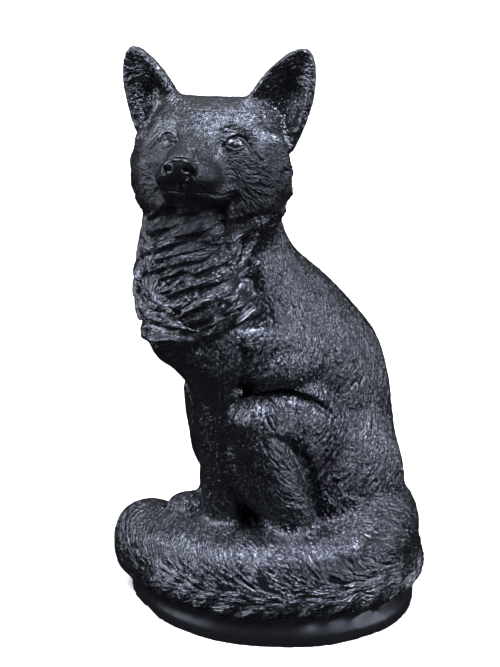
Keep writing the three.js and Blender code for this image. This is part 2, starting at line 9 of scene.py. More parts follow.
import bmesh
import bpy
import numpy as np
from bpy.props import FloatProperty, FloatVectorProperty, IntProperty, PointerProperty
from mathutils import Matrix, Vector


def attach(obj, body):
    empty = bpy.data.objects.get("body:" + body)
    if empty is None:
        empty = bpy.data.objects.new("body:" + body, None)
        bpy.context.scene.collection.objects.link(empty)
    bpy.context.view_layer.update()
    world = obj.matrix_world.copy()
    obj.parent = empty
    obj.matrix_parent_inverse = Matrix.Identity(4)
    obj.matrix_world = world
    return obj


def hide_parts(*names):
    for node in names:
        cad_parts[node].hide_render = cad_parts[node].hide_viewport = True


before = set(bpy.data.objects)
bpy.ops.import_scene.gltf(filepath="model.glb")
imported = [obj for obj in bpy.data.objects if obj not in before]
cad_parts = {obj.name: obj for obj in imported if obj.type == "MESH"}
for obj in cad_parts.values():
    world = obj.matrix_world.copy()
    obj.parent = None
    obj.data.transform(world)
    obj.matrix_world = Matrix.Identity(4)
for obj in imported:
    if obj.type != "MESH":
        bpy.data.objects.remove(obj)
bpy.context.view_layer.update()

bl_info = {
    "name": "Fox statue",
    "version": (1, 0, 0),
    "blender": (4, 5, 0),
    "location": "View3D > Sidebar > Fox statue",
    "description": "Carves, parts and paints a cast sitting fox",
    "category": "Object",
}

NODE = "fox_statue"

# The photograph's frame and the camera fitted to it, from the point on the ground under the fox
IMAGE_WIDTH = 500
FOCAL_PIXELS = 1319
SENSOR = 36.0
CAMERA_TURN = math.radians(65)
CAMERA_PITCH = math.radians(14.38)
CAMERA_BACK = 1.1
CAMERA_SIDE = -0.0154
CAMERA_HEIGHT = 0.52

# Light: how high the sky turns bright (sine of the height), and soft fields (turn, height, spread, strength)
# with the cosine inside which a field is at its full strength
LIGHT_COLOUR = (0.92, 0.95, 1.0, 1)
SKY_RISE = (0.20, 0.75)
SOFT_FIELDS = ((15, 56, 16, 62.0), (-80, 68, 17, 43.0), (50, 14, 26, 12.0), (-108, 20, 26, 16.0))
FIELD_CORE = 0.996

# Head, as in the solid: between the eyes, its turn to the left and its upward tilt
EYES_MIDDLE = np.array((0.020, -0.068, 0.408))
HEAD_TURN = math.radians(45)
HEAD_TILT = math.radians(11)

# Tail, as in the solid: centre line and half width, from the rump to the tip. Its fur parts at a height that
# falls towards the tip, and fans out from there, by degrees up (and more at the tip) and down.
TAIL_LINE = (
    (-0.010, 0.092, 0.078, 0.030), (0.038, 0.090, 0.068, 0.037), (0.070, 0.064, 0.058, 0.038),
    (0.081, 0.027, 0.052, 0.038), (0.074, -0.018, 0.050, 0.037), (0.058, -0.046, 0.049, 0.037),
    (0.028, -0.068, 0.049, 0.037), (-0.004, -0.081, 0.049, 0.037), (-0.054, -0.090, 0.046, 0.034),
)
TAIL_PARTING = 0.046
TAIL_PARTING_FALL = 0.006
TAIL_FAN_HEIGHT = 0.016
TAIL_FAN_UP = (48, 24)
TAIL_FAN_DOWN = 36

# Where the regions of the cast begin and are whole: heights, half widths of the tail, degrees round the neck,
# and the foreleg's box
BASE_TOP = 0.018
BASE_EDGE = (BASE_TOP + 0.004, BASE_TOP + 0.009)
TAIL_EDGE = (1.12, 1.3)
HEAD_EDGE = (0.345, 0.360)
HEAD_SLOPE = 0.15
EAR_EDGE = (0.040, 0.048)
EAR_WAY = (0.6, 0.8)
RUFF_LOW = (0.237, 0.252)
RUFF_LOW_TURN = (-20, 15)
RUFF_LOW_EDGE = 0.007
RUFF_TOP = (0.344, 0.354)
RUFF_RIGHT = (-122, -110)
RUFF_LEFT = (66, 80)
FORELEG_BEFORE = -0.02
FORELEG_HALF = 0.045
FORELEG_HEIGHTS = (0.06, 0.205)
BASE_LIP_LOW = (0.009, 0.014)
BASE_LIP_TOP = (0.022, 0.030)
UNDERSIDE_EDGE = (0.003, 0.010)

# Planes that part the cast: a point, and the way that leads to the later pieces
BASE_CUT = ((0, 0, 0.0185), (0, 0, 1))
FOOT_CUT = ((0, 0, 0.101), (0, 0, 1))
SIDE_CUT = ((0, 0.005, 0), (0, 1, 0))
LOIN_CUT = ((0, 0, 0.190), (0, 0, 1))
CHEST_CUT = ((0, 0, 0.262), (0, 0, 1))
NECK_CUT = ((0, -0.045, 0.350), (-0.12, 0.12, 1))
EAR_HEIGHT = 0.044

# Face, seen from straight ahead: distance from its middle line, and height above the eyes. Only the nose's
# tip, and where the eyes end and the nose starts, are also measured forward of the eyes.
FACE_MIDDLE = 0.0022
EYE = (0.0295, -0.0012)
EYE_HALF_WIDTH = 0.0082
EYE_ABOVE = 0.0048
EYE_BELOW = 0.0044
EYE_SUNK = 0.0044
EYE_BULGE = 0.0050
EYE_BALL = (0.0102, 0.0078)
EYE_DROP = 0.0007
EYE_EDGE = (-0.0003, 0.0005)
PUPIL = (EYE[0] + 0.0005, EYE[1] + 0.0006)
PUPIL_EDGE = (0.0008, 0.0022)
PUPIL_DEPTH = 0.0005
LID_RISE = 0.0008
LID_MIDDLE = 0.0013
LID_WIDTH = 0.0012
CALM_FACE = 0.0060
LID_GROOVE = ((0.0208, -0.0030), (0.0245, 0.0024), (0.0297, 0.0043), (0.0348, 0.0028), (0.0392, -0.0022),
              (0.0440, -0.0085), (0.0515, -0.0155))
BROW_CREASE = ((0.0236, 0.0120), (0.0212, 0.0065), (0.0180, -0.0060), (0.0172, -0.0150))
TEAR_CREASE = ((0.0190, -0.0020), (0.0240, -0.0120), (0.0310, -0.0230))
NOSE_TIP = (0.052, FACE_MIDDLE, -0.024)
NOSE = (0.0, -0.0275)
NOSE_HALF = (0.0126, 0.0088)
NOSE_SQUARE = 2.4
NOSE_RISE = 0.0016
NOSE_MOAT = 0.0014
NOSE_RIM = 0.0006
NOSTRIL = ((0.0056, -0.0262), (0.0092, -0.0266), (0.0104, -0.0292), (0.0070, -0.0322))
NOSTRIL_DEPTH = 0.0042
MIDDLE_GROOVE = ((0.0, -0.0300), (0.0, -0.0430))
MIDDLE_DEPTH = 0.0011
MOUTH = ((0.0, -0.0432), (0.0080, -0.0424), (0.0160, -0.0424), (0.0240, -0.0422), (0.0320, -0.0392),
         (0.0380, -0.0440), (0.0415, -0.0480))
MOUTH_DEPTH = 0.0011
LIP_RISE = 0.0008
CHIN_SUNK = 0.0088
EAR_HOLLOW = (0.0600, 0.0430)
EAR_HOLLOW_HALF = (0.007, 0.010)
EAR_HOLLOW_DEPTH = 0.0040
CHEEK_START = 0.026
CHEEK_FALL = 0.9
EYES_AHEAD = 0.030
NOSE_FROM = 0.036

# Creases of the face: line, half width, depth, how much thinner at the end
FACE_CREASES = ((LID_GROOVE, 0.0013, 0.0030, 0.5), (BROW_CREASE, 0.0030, 0.0015, 0.3),
                (TEAR_CREASE, 0.0036, 0.0012, 0.5))

# Which way the fur runs as seen from the side: front to back, height, and degrees from straight back, over up
SIDE_FLOW = (
    (0.001, 0.312, 285), (-0.033, 0.280, 255), (-0.047, 0.256, 215), (0.020, 0.274, 268),
    (0.058, 0.244, 285), (-0.035, 0.234, 230), (0.001, 0.221, 262), (0.022, 0.213, 238),
    (0.050, 0.217, 220), (0.094, 0.186, 275), (-0.028, 0.199, 300), (-0.003, 0.191, 232),
    (0.043, 0.172, 222), (0.006, 0.162, 225), (-0.045, 0.181, 285), (-0.027, 0.152, 330),
    (-0.015, 0.119, 342), (-0.024, 0.105, 345), (0.025, 0.137, 225), (0.058, 0.117, 228),
    (0.098, 0.141, 250), (0.104, 0.100, 232), (0.110, 0.050, 235), (-0.060, 0.200, 280),
    (-0.060, 0.130, 285), (0.010, 0.360, 275), (-0.095, 0.250, 270), (-0.040, 0.050, 300),
)
FLOW_REACH = 0.018

# Folds of the flank and the haunch as seen from the side: how far out they start, lines from front to back
# and by height, and creases along them (line, half width, depth, how much thinner at the end)
FOLDS_SIDE = (0.030, 0.044)
FLANK_RISE = 0.0135
FLANK_REACH = 0.050
THIGH_LINE = ((-0.052, 0.1935), (-0.045, 0.1990), (-0.034, 0.2045), (-0.022, 0.2068), (-0.010, 0.2058),
              (0.001, 0.2015), (0.012, 0.1950), (0.022, 0.1860), (0.031, 0.1760))
FLANK_LINE = ((-0.038, 0.2215), (-0.030, 0.2300), (-0.020, 0.2355), (-0.010, 0.2375), (0.002, 0.2355))
HAUNCH_LINE = ((-0.032, 0.1715), (-0.020, 0.1645), (-0.0125, 0.1550), (-0.009, 0.1470), (-0.0035, 0.1320),
               (0.003, 0.1155), (0.010, 0.0990), (0.0135, 0.0900))
ELBOW_LINE = ((-0.048, 0.2400), (-0.046, 0.2240), (-0.047, 0.2000))
CREASES = ((THIGH_LINE, 0.0022, 0.0030, 0.7), (FLANK_LINE, 0.0030, 0.0010, 0.4),
           (HAUNCH_LINE, 0.0030, 0.0020, 0.0), (ELBOW_LINE, 0.0034, 0.0036, 0.0))

# The ruff, rolled out flat round an axis: how far its locks rise at the root and more at the tip, how much
# they lean out at the lower side, how deep the ground sinks under them and between which heights, how much of
# a lower lock shows through, how many widths aside the smaller ones lie under, and the wisps on each lock
RUFF_AXIS = np.array((0.0, -0.058))
RUFF_RADIUS = 0.050
RUFF_ROOT = 0.0006
RUFF_RISE = 0.0064
RUFF_LEAN = 0.5
RUFF_SUNK = 0.0032
RUFF_GROUND = (0.240, 0.268)
RUFF_COVER = 0.45
RUFF_UNDER = (-1.3, 1.3)
RUFF_WISP = 0.0014
RUFF_WISPS = 4
RUFF_WISP_SPREAD = 0.42

# The ruff's big locks: three places from root to tip, each by degrees round the neck from the way the face
# looks and by height, and then the lock's width
RUFF_LOCKS = (
    ((38, 0.349), (18, 0.345), (-8, 0.335), 0.012),
    ((78, 0.351), (62, 0.343), (40, 0.331), 0.012),
    ((-2, 0.348), (-20, 0.344), (-42, 0.332), 0.011),
    ((14, 0.334), (-6, 0.333), (-28, 0.321), 0.010),
    ((24, 0.329), (2, 0.326), (-27, 0.313), 0.011),
    ((34, 0.326), (4, 0.320), (-33, 0.303), 0.014),
    ((54, 0.333), (34, 0.319), (9, 0.306), 0.014),
    ((66, 0.336), (62, 0.320), (44, 0.309), 0.012),
    ((88, 0.336), (91, 0.320), (70, 0.308), 0.013),
    ((107, 0.346), (109, 0.335), (100, 0.325), 0.010),
    ((54, 0.307), (20, 0.303), (-13, 0.286), 0.014),
    ((58, 0.301), (31, 0.291), (3, 0.276), 0.014),
    ((66, 0.298), (55, 0.285), (34, 0.274), 0.013),
    ((-28, 0.304), (-25, 0.288), (-3, 0.273), 0.013),
    ((-47, 0.296), (-55, 0.281), (-37, 0.272), 0.010),
    ((-56, 0.275), (-29, 0.269), (-10, 0.266), 0.011),
    ((-65, 0.272), (-54, 0.261), (-33, 0.258), 0.011),
    ((-23, 0.267), (-4, 0.266), (16, 0.261), 0.010),
    ((-65, 0.255), (-29, 0.252), (-4, 0.254), 0.010),
    ((28, 0.290), (22, 0.276), (2, 0.266), 0.013),
    ((-35, 0.327), (-60, 0.312), (-68, 0.298), 0.012),
    ((-72, 0.295), (-75, 0.281), (-68, 0.262), 0.011),
    ((-70, 0.262), (-66, 0.245), (-60, 0.232), 0.011),
)

# What fur there is: length, width, height as a share of the depth, and waywardness in degrees
FUR_BODY = (0.0150, 0.0030, 1.00, 7.0)
FUR_BACK = (0.0105, 0.0027, 0.78, 18.0)
FUR_FORELEG = (0.0110, 0.0027, 0.75, 10.0)
FUR_TAIL = (0.0175, 0.0036, 1.20, 9.0)
FUR_RUFF = (0.0110, 0.0030, 0.16, 7.0)
FUR_SHIN = (0.0160, 0.0034, 1.15, 6.0)
FUR_HEAD = (0.0062, 0.0022, 0.55, 24.0)
FUR_CHEEK = (0.0120, 0.0034, 1.30, 14.0)
FUR_EAR = (0.0120, 0.0025, 0.85, 9.0)
FUR_THROAT = (0.0060, 0.0020, 0.12, 12.0)
FUR_MUZZLE = (0.0048, 0.0019, 0.46, 20.0)

# Where the fur changes from one kind to the next, in the body's places and then in the face's
BACK_EDGE = (0.225, 0.262)
SHIN_SIDE = (0.045, 0.055)
SHIN_FRONT = (-0.010, -0.024)
SHIN_TOP = (0.195, 0.180)
CHEEK_SIDE = (0.040, 0.056)
CHEEK_TOP = (0.004, -0.012)
THROAT_TOP = (-0.040, -0.048)
THROAT_LOW = (-0.074, -0.066)
THROAT_SIDE = (0.022, 0.034)
THROAT_FRONT = (-0.03, -0.005)
MUZZLE_FRONT = (0.016, 0.034)

# How tufts differ from their kind, over what lengths they swirl and curl, how many cover a place, and how
# many are laid at once
TUFT_LENGTHS = (0.7, 1.3)
TUFT_WIDTHS = (0.75, 1.35)
TUFT_HEIGHTS = (0.65, 1.2)
TUFT_SWIRL = 0.030
TUFT_CURL = 0.022
TUFT_OVERLAP = 3.9
TUFTS_AT_ONCE = 6000

# Where the paint is dull, in the face's places, but for the bridge of the muzzle, and painted shade on the
# throat
DULL_FRONT = (-0.030, 0.000)
DULL_TOP = (0.012, -0.008)
DULL_LOW = (-0.085, -0.070)
BRIDGE_LOW = (-0.026, -0.014)
BRIDGE_SIDE = (0.014, 0.024)
BRIDGE_GLOSS = 0.7
# Painted shade: the throat under the chin loses gloss, darkened where the chin's shadow falls
PAINTED_SHADE_THROAT = (0.322, 0.340)
PAINTED_SHADE_THROAT_TURN = (52, 74)

# How the paint's fine hairs wander and how it is grained, by noise of a scale, a detail and a share; how
# smooth it is at most, and its gloss where it isn't dull or darkened as painted shade
HAIR_DRIFT = (150, 2, 14.0)
GRAIN = (700, 4, 0.3)
SMOOTHEST = 0.12
GLOSS = 0.5


class CastSettings(bpy.types.PropertyGroup):
    voxel: FloatProperty(
        name="Voxel", description="Grid the skin is rebuilt on before it is split once more",
        default=0.00197, min=0.001, subtype="DISTANCE", unit="LENGTH")
    evening: IntProperty(
        name="Evening", description="Rounds of smoothing that take the facets off", default=14, min=0)
    melting: IntProperty(
        name="Melting", description="Rounds that melt the solid's coarse locks before finer ones are carved",
        default=26, min=0)


class FurSettings(bpy.types.PropertyGroup):
    depth: FloatProperty(
        name="Depth", description="Height of a full tuft above its root",
        default=0.0013, min=0, subtype="DISTANCE", unit="LENGTH")
    seed: IntProperty(name="Seed", description="Start of the random draws", default=7)


class PaintSettings(bpy.types.PropertyGroup):
    colour: FloatVectorProperty(
        name="Colour", description="Black of the paint", subtype="COLOR", default=(0.0023, 0.0024, 0.0030))
    # The cool gloss tint is partly the paint's sheen and partly painted light: the bluish colour of the light
    # it mirrors
    gloss_and_light_tint: FloatVectorProperty(
        name="Gloss tint", description="Cool tint of the paint's gloss", subtype="COLOR",
        default=(0.77, 0.82, 1.0))
    roughness: FloatProperty(
        name="Roughness", description="Roughness over the fur", default=0.17, min=0, max=1)
    hair: FloatProperty(
        name="Hair", description="Width of one fine hair inside a tuft", default=0.0018, min=0.0001,
        subtype="DISTANCE", unit="LENGTH")
    hair_depth: FloatProperty(
        name="Hair depth", description="How deep the fine hairs are cut", default=0.00017, min=0,
        subtype="DISTANCE", unit="LENGTH")
    bare: FloatProperty(
        name="Bare", description="Roughness on the muzzle, the chin and the base", default=0.34, min=0, max=1)
    # This share also sets the gloss kept as painted shade on the throat, and partly on the base
    dulled_and_shaded: FloatProperty(
        name="Dulled", description="Share of the gloss left on the muzzle, the chin and the base",
        default=0.4, min=0, max=1)
    polish: FloatProperty(
        name="Polish", description="Roughness on the nose and the eyes", default=0.16, min=0, max=1)


class StageSettings(bpy.types.PropertyGroup):
    floor: FloatProperty(
        name="Floor", description="Radius of the floor and of the backdrop round it", default=16.0, min=1,
        subtype="DISTANCE", unit="LENGTH")
    floor_colour: FloatVectorProperty(
        name="Floor colour", description="Pale floor", subtype="COLOR", default=(0.55, 0.545, 0.535))
    sky: FloatProperty(name="Sky", description="Strength of the light from above", default=0.9)
    horizon: FloatProperty(name="Horizon", description="Strength of the light from below", default=0.02)


def smooth_step(low, high, value):
    share = np.clip((value - low) / (high - low), 0.0, 1.0)
    return share * share * (3.0 - 2.0 * share)


def unit(vectors):
    return vectors / np.maximum(np.linalg.norm(vectors, axis=-1, keepdims=True), 1e-12)


def head_axes():
    """Forward, to the fox's left, and up."""
    level = np.array((math.sin(HEAD_TURN), -math.cos(HEAD_TURN), 0.0))
    above = np.array((0.0, 0.0, 1.0))
    forward = level * math.cos(HEAD_TILT) + above * math.sin(HEAD_TILT)
    left = np.array((-level[1], level[0], 0.0))
    up = above * math.cos(HEAD_TILT) - level * math.sin(HEAD_TILT)
    return np.array((forward, left, up))


HEAD = head_axes()


def in_head(points):
    return (points - EYES_MIDDLE) @ HEAD.T


class Skin:
    """The cast's points, normals and neighbours as arrays, while it is carved."""

    def __init__(self, mesh):
        self.mesh = mesh
        count = len(mesh.vertices)
        self.points = np.empty((count, 3), np.float32)
        mesh.vertices.foreach_get("co", self.points.ravel())
        self.points = self.points.astype(np.float64)
        edges = np.empty((len(mesh.edges), 2), np.int32)
        mesh.edges.foreach_get("vertices", edges.ravel())
        self.starts, self.ends = edges[:, 0], edges[:, 1]
        self.degree = np.bincount(edges.ravel(), minlength=count).astype(float)
        self.refresh()

    def mean(self, values):
        """Each point's mean over its neighbours."""
        flat = values.reshape(len(values), -1)
        sums = np.empty_like(flat)
        for column in range(flat.shape[1]):
            one = flat[:, column]
            sums[:, column] = np.bincount(self.starts, one[self.ends], len(flat))
            sums[:, column] += np.bincount(self.ends, one[self.starts], len(flat))
        return (sums / self.degree[:, None]).reshape(values.shape)

    def even(self, rounds, strength):
        """Takes bumps off without drawing the form in; strength is one number for each point."""
        for _ in range(rounds):
            for factor in (0.55, -0.57):
                self.points += (self.mean(self.points) - self.points) * (strength * factor)[:, None]
        self.refresh()

    def blur(self, rounds, strength):
        """Melts forms away where the strength is high."""
        for _ in range(rounds):
            self.points += (self.mean(self.points) - self.points) * (strength * 0.6)[:, None]
        self.refresh()

    def refresh(self):
        """Writes the points back and reads the new normals."""
        self.mesh.vertices.foreach_set("co", self.points.astype(np.float32).ravel())
        self.mesh.update()
        normals = np.empty(self.points.size, np.float32)
        self.mesh.vertices.foreach_get("normal", normals)
        self.normals = normals.reshape(-1, 3).astype(np.float64)

    def keep(self, name, values):
        """Stores one number for each point on the mesh, for the paint."""
        layer = self.mesh.attributes.new(name, "FLOAT", "POINT")
        layer.data.foreach_set("value", values.astype(np.float32))

    def push(self, heights):
        self.points += self.normals * heights[:, None]


class Cells:
    """Finds the points near each centre, with the points sorted into cubic cells."""

    def __init__(self, points, size):
        self.size = size
        self.low = points.min(0) - 2 * size
        places = ((points - self.low) / size).astype(np.int64)
        self.shape = places.max(0) + 3
        keys = self.key(places)
        self.order = np.argsort(keys, kind="stable")
        self.keys = keys[self.order]

    def key(self, places):
        return (places[..., 0] * self.shape[1] + places[..., 1]) * self.shape[2] + places[..., 2]

    def pairs(self, centres):
        """Rows of (centre, point) for all points within about a cell of each centre."""
        places = ((centres - self.low) / self.size).astype(np.int64)
        rows, columns = [], []
        for i in (-1, 0, 1):
            for j in (-1, 0, 1):
                first = self.key(places + (i, j, -1))
                start = np.searchsorted(self.keys, first, "left")
                stop = np.searchsorted(self.keys, first + 2, "right")
                counts = stop - start
                row = np.repeat(np.arange(len(centres)), counts)
                offset = np.arange(len(row)) - np.repeat(np.cumsum(counts) - counts, counts)
                rows.append(row)
                columns.append(self.order[np.repeat(start, counts) + offset])
        return np.concatenate(rows), np.concatenate(columns)


def waves(points, length, random):
    """A smooth random field between about -1 and 1, with waves of about this length."""
    total = np.zeros(len(points))
    for _ in range(14):
        heading = unit(random.standard_normal(3)) * 2 * math.pi / (length * random.uniform(0.7, 1.4))
        total += np.cos(points @ heading + random.uniform(0, 2 * math.pi))
    return total / math.sqrt(14)


def line_gap(places, line):
    """Distance to a line of straight stretches, the share along it, and the side it lies on."""
    knots = np.array(line)
    lengths = np.linalg.norm(np.diff(knots, axis=0), axis=1)
    before = np.concatenate(((0,), np.cumsum(lengths))) / lengths.sum()
    best = np.full(len(places), 1e9)
    along = np.zeros(len(places))
    side = np.zeros(len(places))
    for i in range(len(lengths)):
        step = knots[i + 1] - knots[i]
        share = np.clip(((places - knots[i]) @ step) / (step @ step), 0, 1)
        offset = places - knots[i] - share[:, None] * step
        gap = np.hypot(offset[:, 0], offset[:, 1])
        nearer = gap < best
        best[nearer] = gap[nearer]
        along[nearer] = (before[i] + share * (before[i + 1] - before[i]))[nearer]
        side[nearer] = np.sign(step[0] * offset[:, 1] - step[1] * offset[:, 0])[nearer]
    return best, along, side


def groove(places, line, width, taper=0.0):
    """One in the middle of a line, falling to nothing a width away, and thinner towards its end."""
    gap, along, _ = line_gap(places, line)
    return np.exp(-(gap / width) ** 2) * (1 - taper * along)


def curved(knots, count=10):
    """A smooth line through knots."""
    knots = np.array(knots, float)
    ends = np.concatenate((2 * knots[:1] - knots[1:2], knots, 2 * knots[-1:] - knots[-2:-1]))
    places = []
    for i in range(len(knots) - 1):
        a, b, c, d = ends[i:i + 4]
        for t in np.arange(count) / count:
            places.append(0.5 * (2 * b + (c - a) * t + (2 * a - 5 * b + 4 * c - d) * t ** 2
                                 + (3 * b - a - 3 * c + d) * t ** 3))
    places.append(knots[-1])
    return np.array(places)


def tail_place(points):
    """Distance out from the tail's centre line in half widths, share along it, and its heading."""
    line = np.array(TAIL_LINE)
    best = np.full(len(points), 1e9)
    along = np.zeros(len(points))
    heading = np.zeros((len(points), 3))
    for i in range(1, len(line)):
        a, b = line[i - 1], line[i]
        step = b[:3] - a[:3]
        share = np.clip(((points - a[:3]) @ step) / (step @ step), 0, 1)
        gap = np.linalg.norm(points - a[:3] - share[:, None] * step, axis=1)
        gap /= a[3] + share * (b[3] - a[3])
        nearer = gap < best
        best[nearer] = gap[nearer]
        along[nearer] = ((i - 1 + share) / (len(line) - 1))[nearer]
        heading[nearer] = unit(step)
    return best, along, heading


def ruff_place(points):
    """Degrees round the neck from the way the face looks."""
    flat = points[:, :2] - RUFF_AXIS
    around = np.degrees(np.arctan2(flat[:, 0], -flat[:, 1])) - math.degrees(HEAD_TURN)
    return (around + 180) % 360 - 180


def regions(points):
    """How far each point belongs to the base, tail, head, ears, ruff and forelegs."""
    forward, left, up = in_head(points).T
    ring, along, heading = tail_place(points)
    around = ruff_place(points)
    z = points[:, 2]
    found = {}
    found["base"] = 1 - smooth_step(*BASE_EDGE, z)
    found["tail"] = 1 - smooth_step(*TAIL_EDGE, ring)
    found["head"] = smooth_step(*HEAD_EDGE, z - HEAD_SLOPE * np.clip(forward, -0.06, 0.06))
    found["ear"] = smooth_step(*EAR_EDGE, up * EAR_WAY[1] + np.abs(left) * EAR_WAY[0]) * found["head"]
    low = RUFF_LOW[0] + (RUFF_LOW[1] - RUFF_LOW[0]) * smooth_step(*RUFF_LOW_TURN, around)
    in_height = smooth_step(low, low + RUFF_LOW_EDGE, z)
    in_height *= 1 - smooth_step(*RUFF_TOP, z - 0.0002 * np.abs(around))
    in_turn = smooth_step(*RUFF_RIGHT, around) * (1 - smooth_step(*RUFF_LEFT, around))
    found["ruff"] = in_height * in_turn * (1 - found["head"])
    found["foreleg"] = (z > FORELEG_HEIGHTS[0]) * (z < FORELEG_HEIGHTS[1]) * 1.0
    found["foreleg"] *= (points[:, 1] < FORELEG_BEFORE) & (np.abs(points[:, 0]) < FORELEG_HALF)
    return found, along, heading


def side_flow(points):
    """The body's fur, from the guides seen from the side."""
    total = np.zeros((len(points), 3))
    for y, z, degrees in SIDE_FLOW:
        gap = np.hypot(points[:, 1] - y, points[:, 2] - z) / FLOW_REACH
        weight = 1.0 / (1.0 + gap ** 2) ** 2
        total[:, 1] += weight * math.cos(math.radians(degrees))
        total[:, 2] += weight * math.sin(math.radians(degrees))
    return unit(total)


def tail_flow(points, normals, along, heading):
    """Along the brush towards its tip, fanning up above its middle and down below it."""
    ring = unit(np.cross(heading, normals))
    ring *= np.sign(ring[:, 2:3] + 1e-9)
    middle = TAIL_PARTING - TAIL_PARTING_FALL * along
    rise = np.clip((points[:, 2] - middle) / TAIL_FAN_HEIGHT, -1, 1)
    lean = np.radians(np.where(rise > 0, TAIL_FAN_UP[0] + TAIL_FAN_UP[1] * along, TAIL_FAN_DOWN) * rise)
    return heading * np.cos(lean)[:, None] + ring * np.sin(lean)[:, None]


def head_flow(points):
    """Away from the nose, turning down over the cheeks."""
    place = in_head(points)
    away = place - np.array(NOSE_TIP)
    away[:, 2] -= CHEEK_FALL * np.clip(np.abs(place[:, 1] - FACE_MIDDLE) - CHEEK_START, 0, None)
    return unit(away) @ HEAD


def ear_flow(points):
    """Up the ear's back, and round the hollow in its cup."""
    left, up = in_head(points).T[1:]
    side = np.sign(left - FACE_MIDDLE)
    across = np.abs(left - FACE_MIDDLE) - EAR_HOLLOW[0]
    above = up - EAR_HOLLOW[1]
    outward = 0.75 + above * 30
    rise = 0.35 - across * 60
    return np.stack([np.zeros(len(points)), side * outward, rise], 1) @ HEAD


def ruff_flow(points):
    """Round the neck towards the left of the middle, and down."""
    around = ruff_place(points)
    turn = np.radians(around) + HEAD_TURN
    sideways = np.stack([np.cos(turn), np.sin(turn), np.zeros(len(points))], 1)
    meet = np.clip((around + 20) / 30, -1, 1)
    return -sideways * meet[:, None] * 0.9 - np.array((0, 0, 0.5))


def fur_flow(skin, found, along, heading):
    """Which way the fur runs at each point, along the skin."""
    points, normals = skin.points, skin.normals
    flow = side_flow(points)
    fields = {
        "tail": tail_flow(points, normals, along, heading),
        "ruff": ruff_flow(points),
        "head": head_flow(points),
        "ear": ear_flow(points),
    }
    for name, way in fields.items():
        flow = flow + (way - flow) * found[name][:, None]
    for _ in range(4):
        flow = flow - normals * np.sum(flow * normals, 1, keepdims=True)
        flow = unit(flow * 0.4 + skin.mean(flow) * 0.6)
    return unit(flow - normals * np.sum(flow * normals, 1, keepdims=True))


def tuft_sizes(points, found):
    """Length, width, height and waywardness of the fur at each point."""
    forward, left, up = in_head(points).T
    aside = np.abs(left - FACE_MIDDLE)
    sizes = np.tile(FUR_BODY, (len(points), 1))

    def blend(share, kind):
        sizes[:] += (np.array(kind) - sizes) * np.clip(share, 0, 1)[:, None]

    blend(smooth_step(*BACK_EDGE, points[:, 2]), FUR_BACK)
    shin = smooth_step(*SHIN_SIDE, np.abs(points[:, 0])) * smooth_step(*SHIN_FRONT, points[:, 1])
    blend(shin * smooth_step(*SHIN_TOP, points[:, 2]), FUR_SHIN)
    blend(found["foreleg"], FUR_FORELEG)
    blend(found["tail"], FUR_TAIL)
    blend(found["ruff"], FUR_RUFF)
    blend(found["head"], FUR_HEAD)
    cheek = smooth_step(*CHEEK_SIDE, aside - 0.25 * up) * smooth_step(*CHEEK_TOP, up)
    blend(found["head"] * cheek, FUR_CHEEK)
    blend(found["ear"], FUR_EAR)
    throat = smooth_step(*THROAT_TOP, up) * (1 - smooth_step(*THROAT_SIDE, aside))
    throat *= smooth_step(*THROAT_LOW, up)
    blend(throat * (1 - found["ruff"]) * smooth_step(*THROAT_FRONT, forward), FUR_THROAT)
    blend(found["head"] * smooth_step(*MUZZLE_FRONT, forward), FUR_MUZZLE)
    sizes[:, 2] *= 1 - found["base"]
    return sizes.T


class Tufts:
    """Tufts of fur, one at each root: their sizes, and which way each lies and curls."""

    def __init__(self, skin, roots, flow, sizes, depth, random):
        length, width, height, wayward = (values[roots] for values in sizes)
        self.roots = roots
        self.length = length * random.uniform(*TUFT_LENGTHS, len(roots))
        self.width = width * random.uniform(*TUFT_WIDTHS, len(roots))
        self.height = height * random.uniform(*TUFT_HEIGHTS, len(roots)) * depth
        swirl = waves(skin.points[roots], TUFT_SWIRL, random)
        angle = np.radians(wayward * (0.9 * random.standard_normal(len(roots)) + 1.2 * swirl))
        self.curl = np.radians(wayward * 1.3 + 6) * waves(skin.points[roots], TUFT_CURL, random)
        self.up = skin.normals[roots]
        ahead = flow[roots]
        across = np.cross(self.up, ahead)
        self.ahead = ahead * np.cos(angle)[:, None] + across * np.sin(angle)[:, None]
        self.across = np.cross(self.up, self.ahead)
        self.centre = skin.points[roots] + self.ahead * (self.length * 0.4)[:, None]

    def covered(self, skin, part):
        """Each tuft of the part with each point under it: the share along, the distance across, and the half
        width there."""
        cells = Cells(skin.points, float(self.length[part].max()) * 0.6)
        rows, columns = cells.pairs(self.centre[part])
        tuft = part[rows]
        offset = skin.points[columns] - skin.points[self.roots[tuft]]
        forth = np.einsum("ij,ij->i", offset, self.ahead[tuft]) / self.length[tuft]
        aside = np.einsum("ij,ij->i", offset, self.across[tuft])
        aside -= self.curl[tuft] * forth ** 2 * self.length[tuft] * 0.5
        half = self.width[tuft] * 0.5 * np.sqrt(np.clip(forth * 4, 0, 1))
        half = half * np.clip((1 - forth) * 2.0, 0, 1) ** 0.7
        inside = (forth > 0) & (forth < 1) & (np.abs(aside) < half)
        inside &= np.einsum("ij,ij->i", skin.normals[columns], self.up[tuft]) > 0.35
        return tuft[inside], columns[inside], forth[inside], aside[inside], half[inside]


def stamp_tufts(skin, tufts):
    """Lays tufts like tiles: each rises from its root to its pointed tip, and the highest one shows.

    Gives the height, and for the paint the distance across the tuft and how near its crown a point is.
    """
    raised, strand, crowned = np.zeros((3, len(skin.points)))
    order = np.argsort(tufts.length)
    for part in np.array_split(order, max(1, len(order) // TUFTS_AT_ONCE)):
        tuft, columns, forth, aside, half = tufts.covered(skin, part)
        crown = 1 - np.abs(aside / half) ** 2.2
        value = tufts.height[tuft] * (0.12 + 0.88 * forth ** 0.8) * (0.25 + 0.75 * crown)
        np.maximum.at(raised, columns, value)
        top = value >= raised[columns]
        strand[columns[top]] = aside[top]
        crowned[columns[top]] = crown[top] ** 0.5
    return raised, strand, crowned


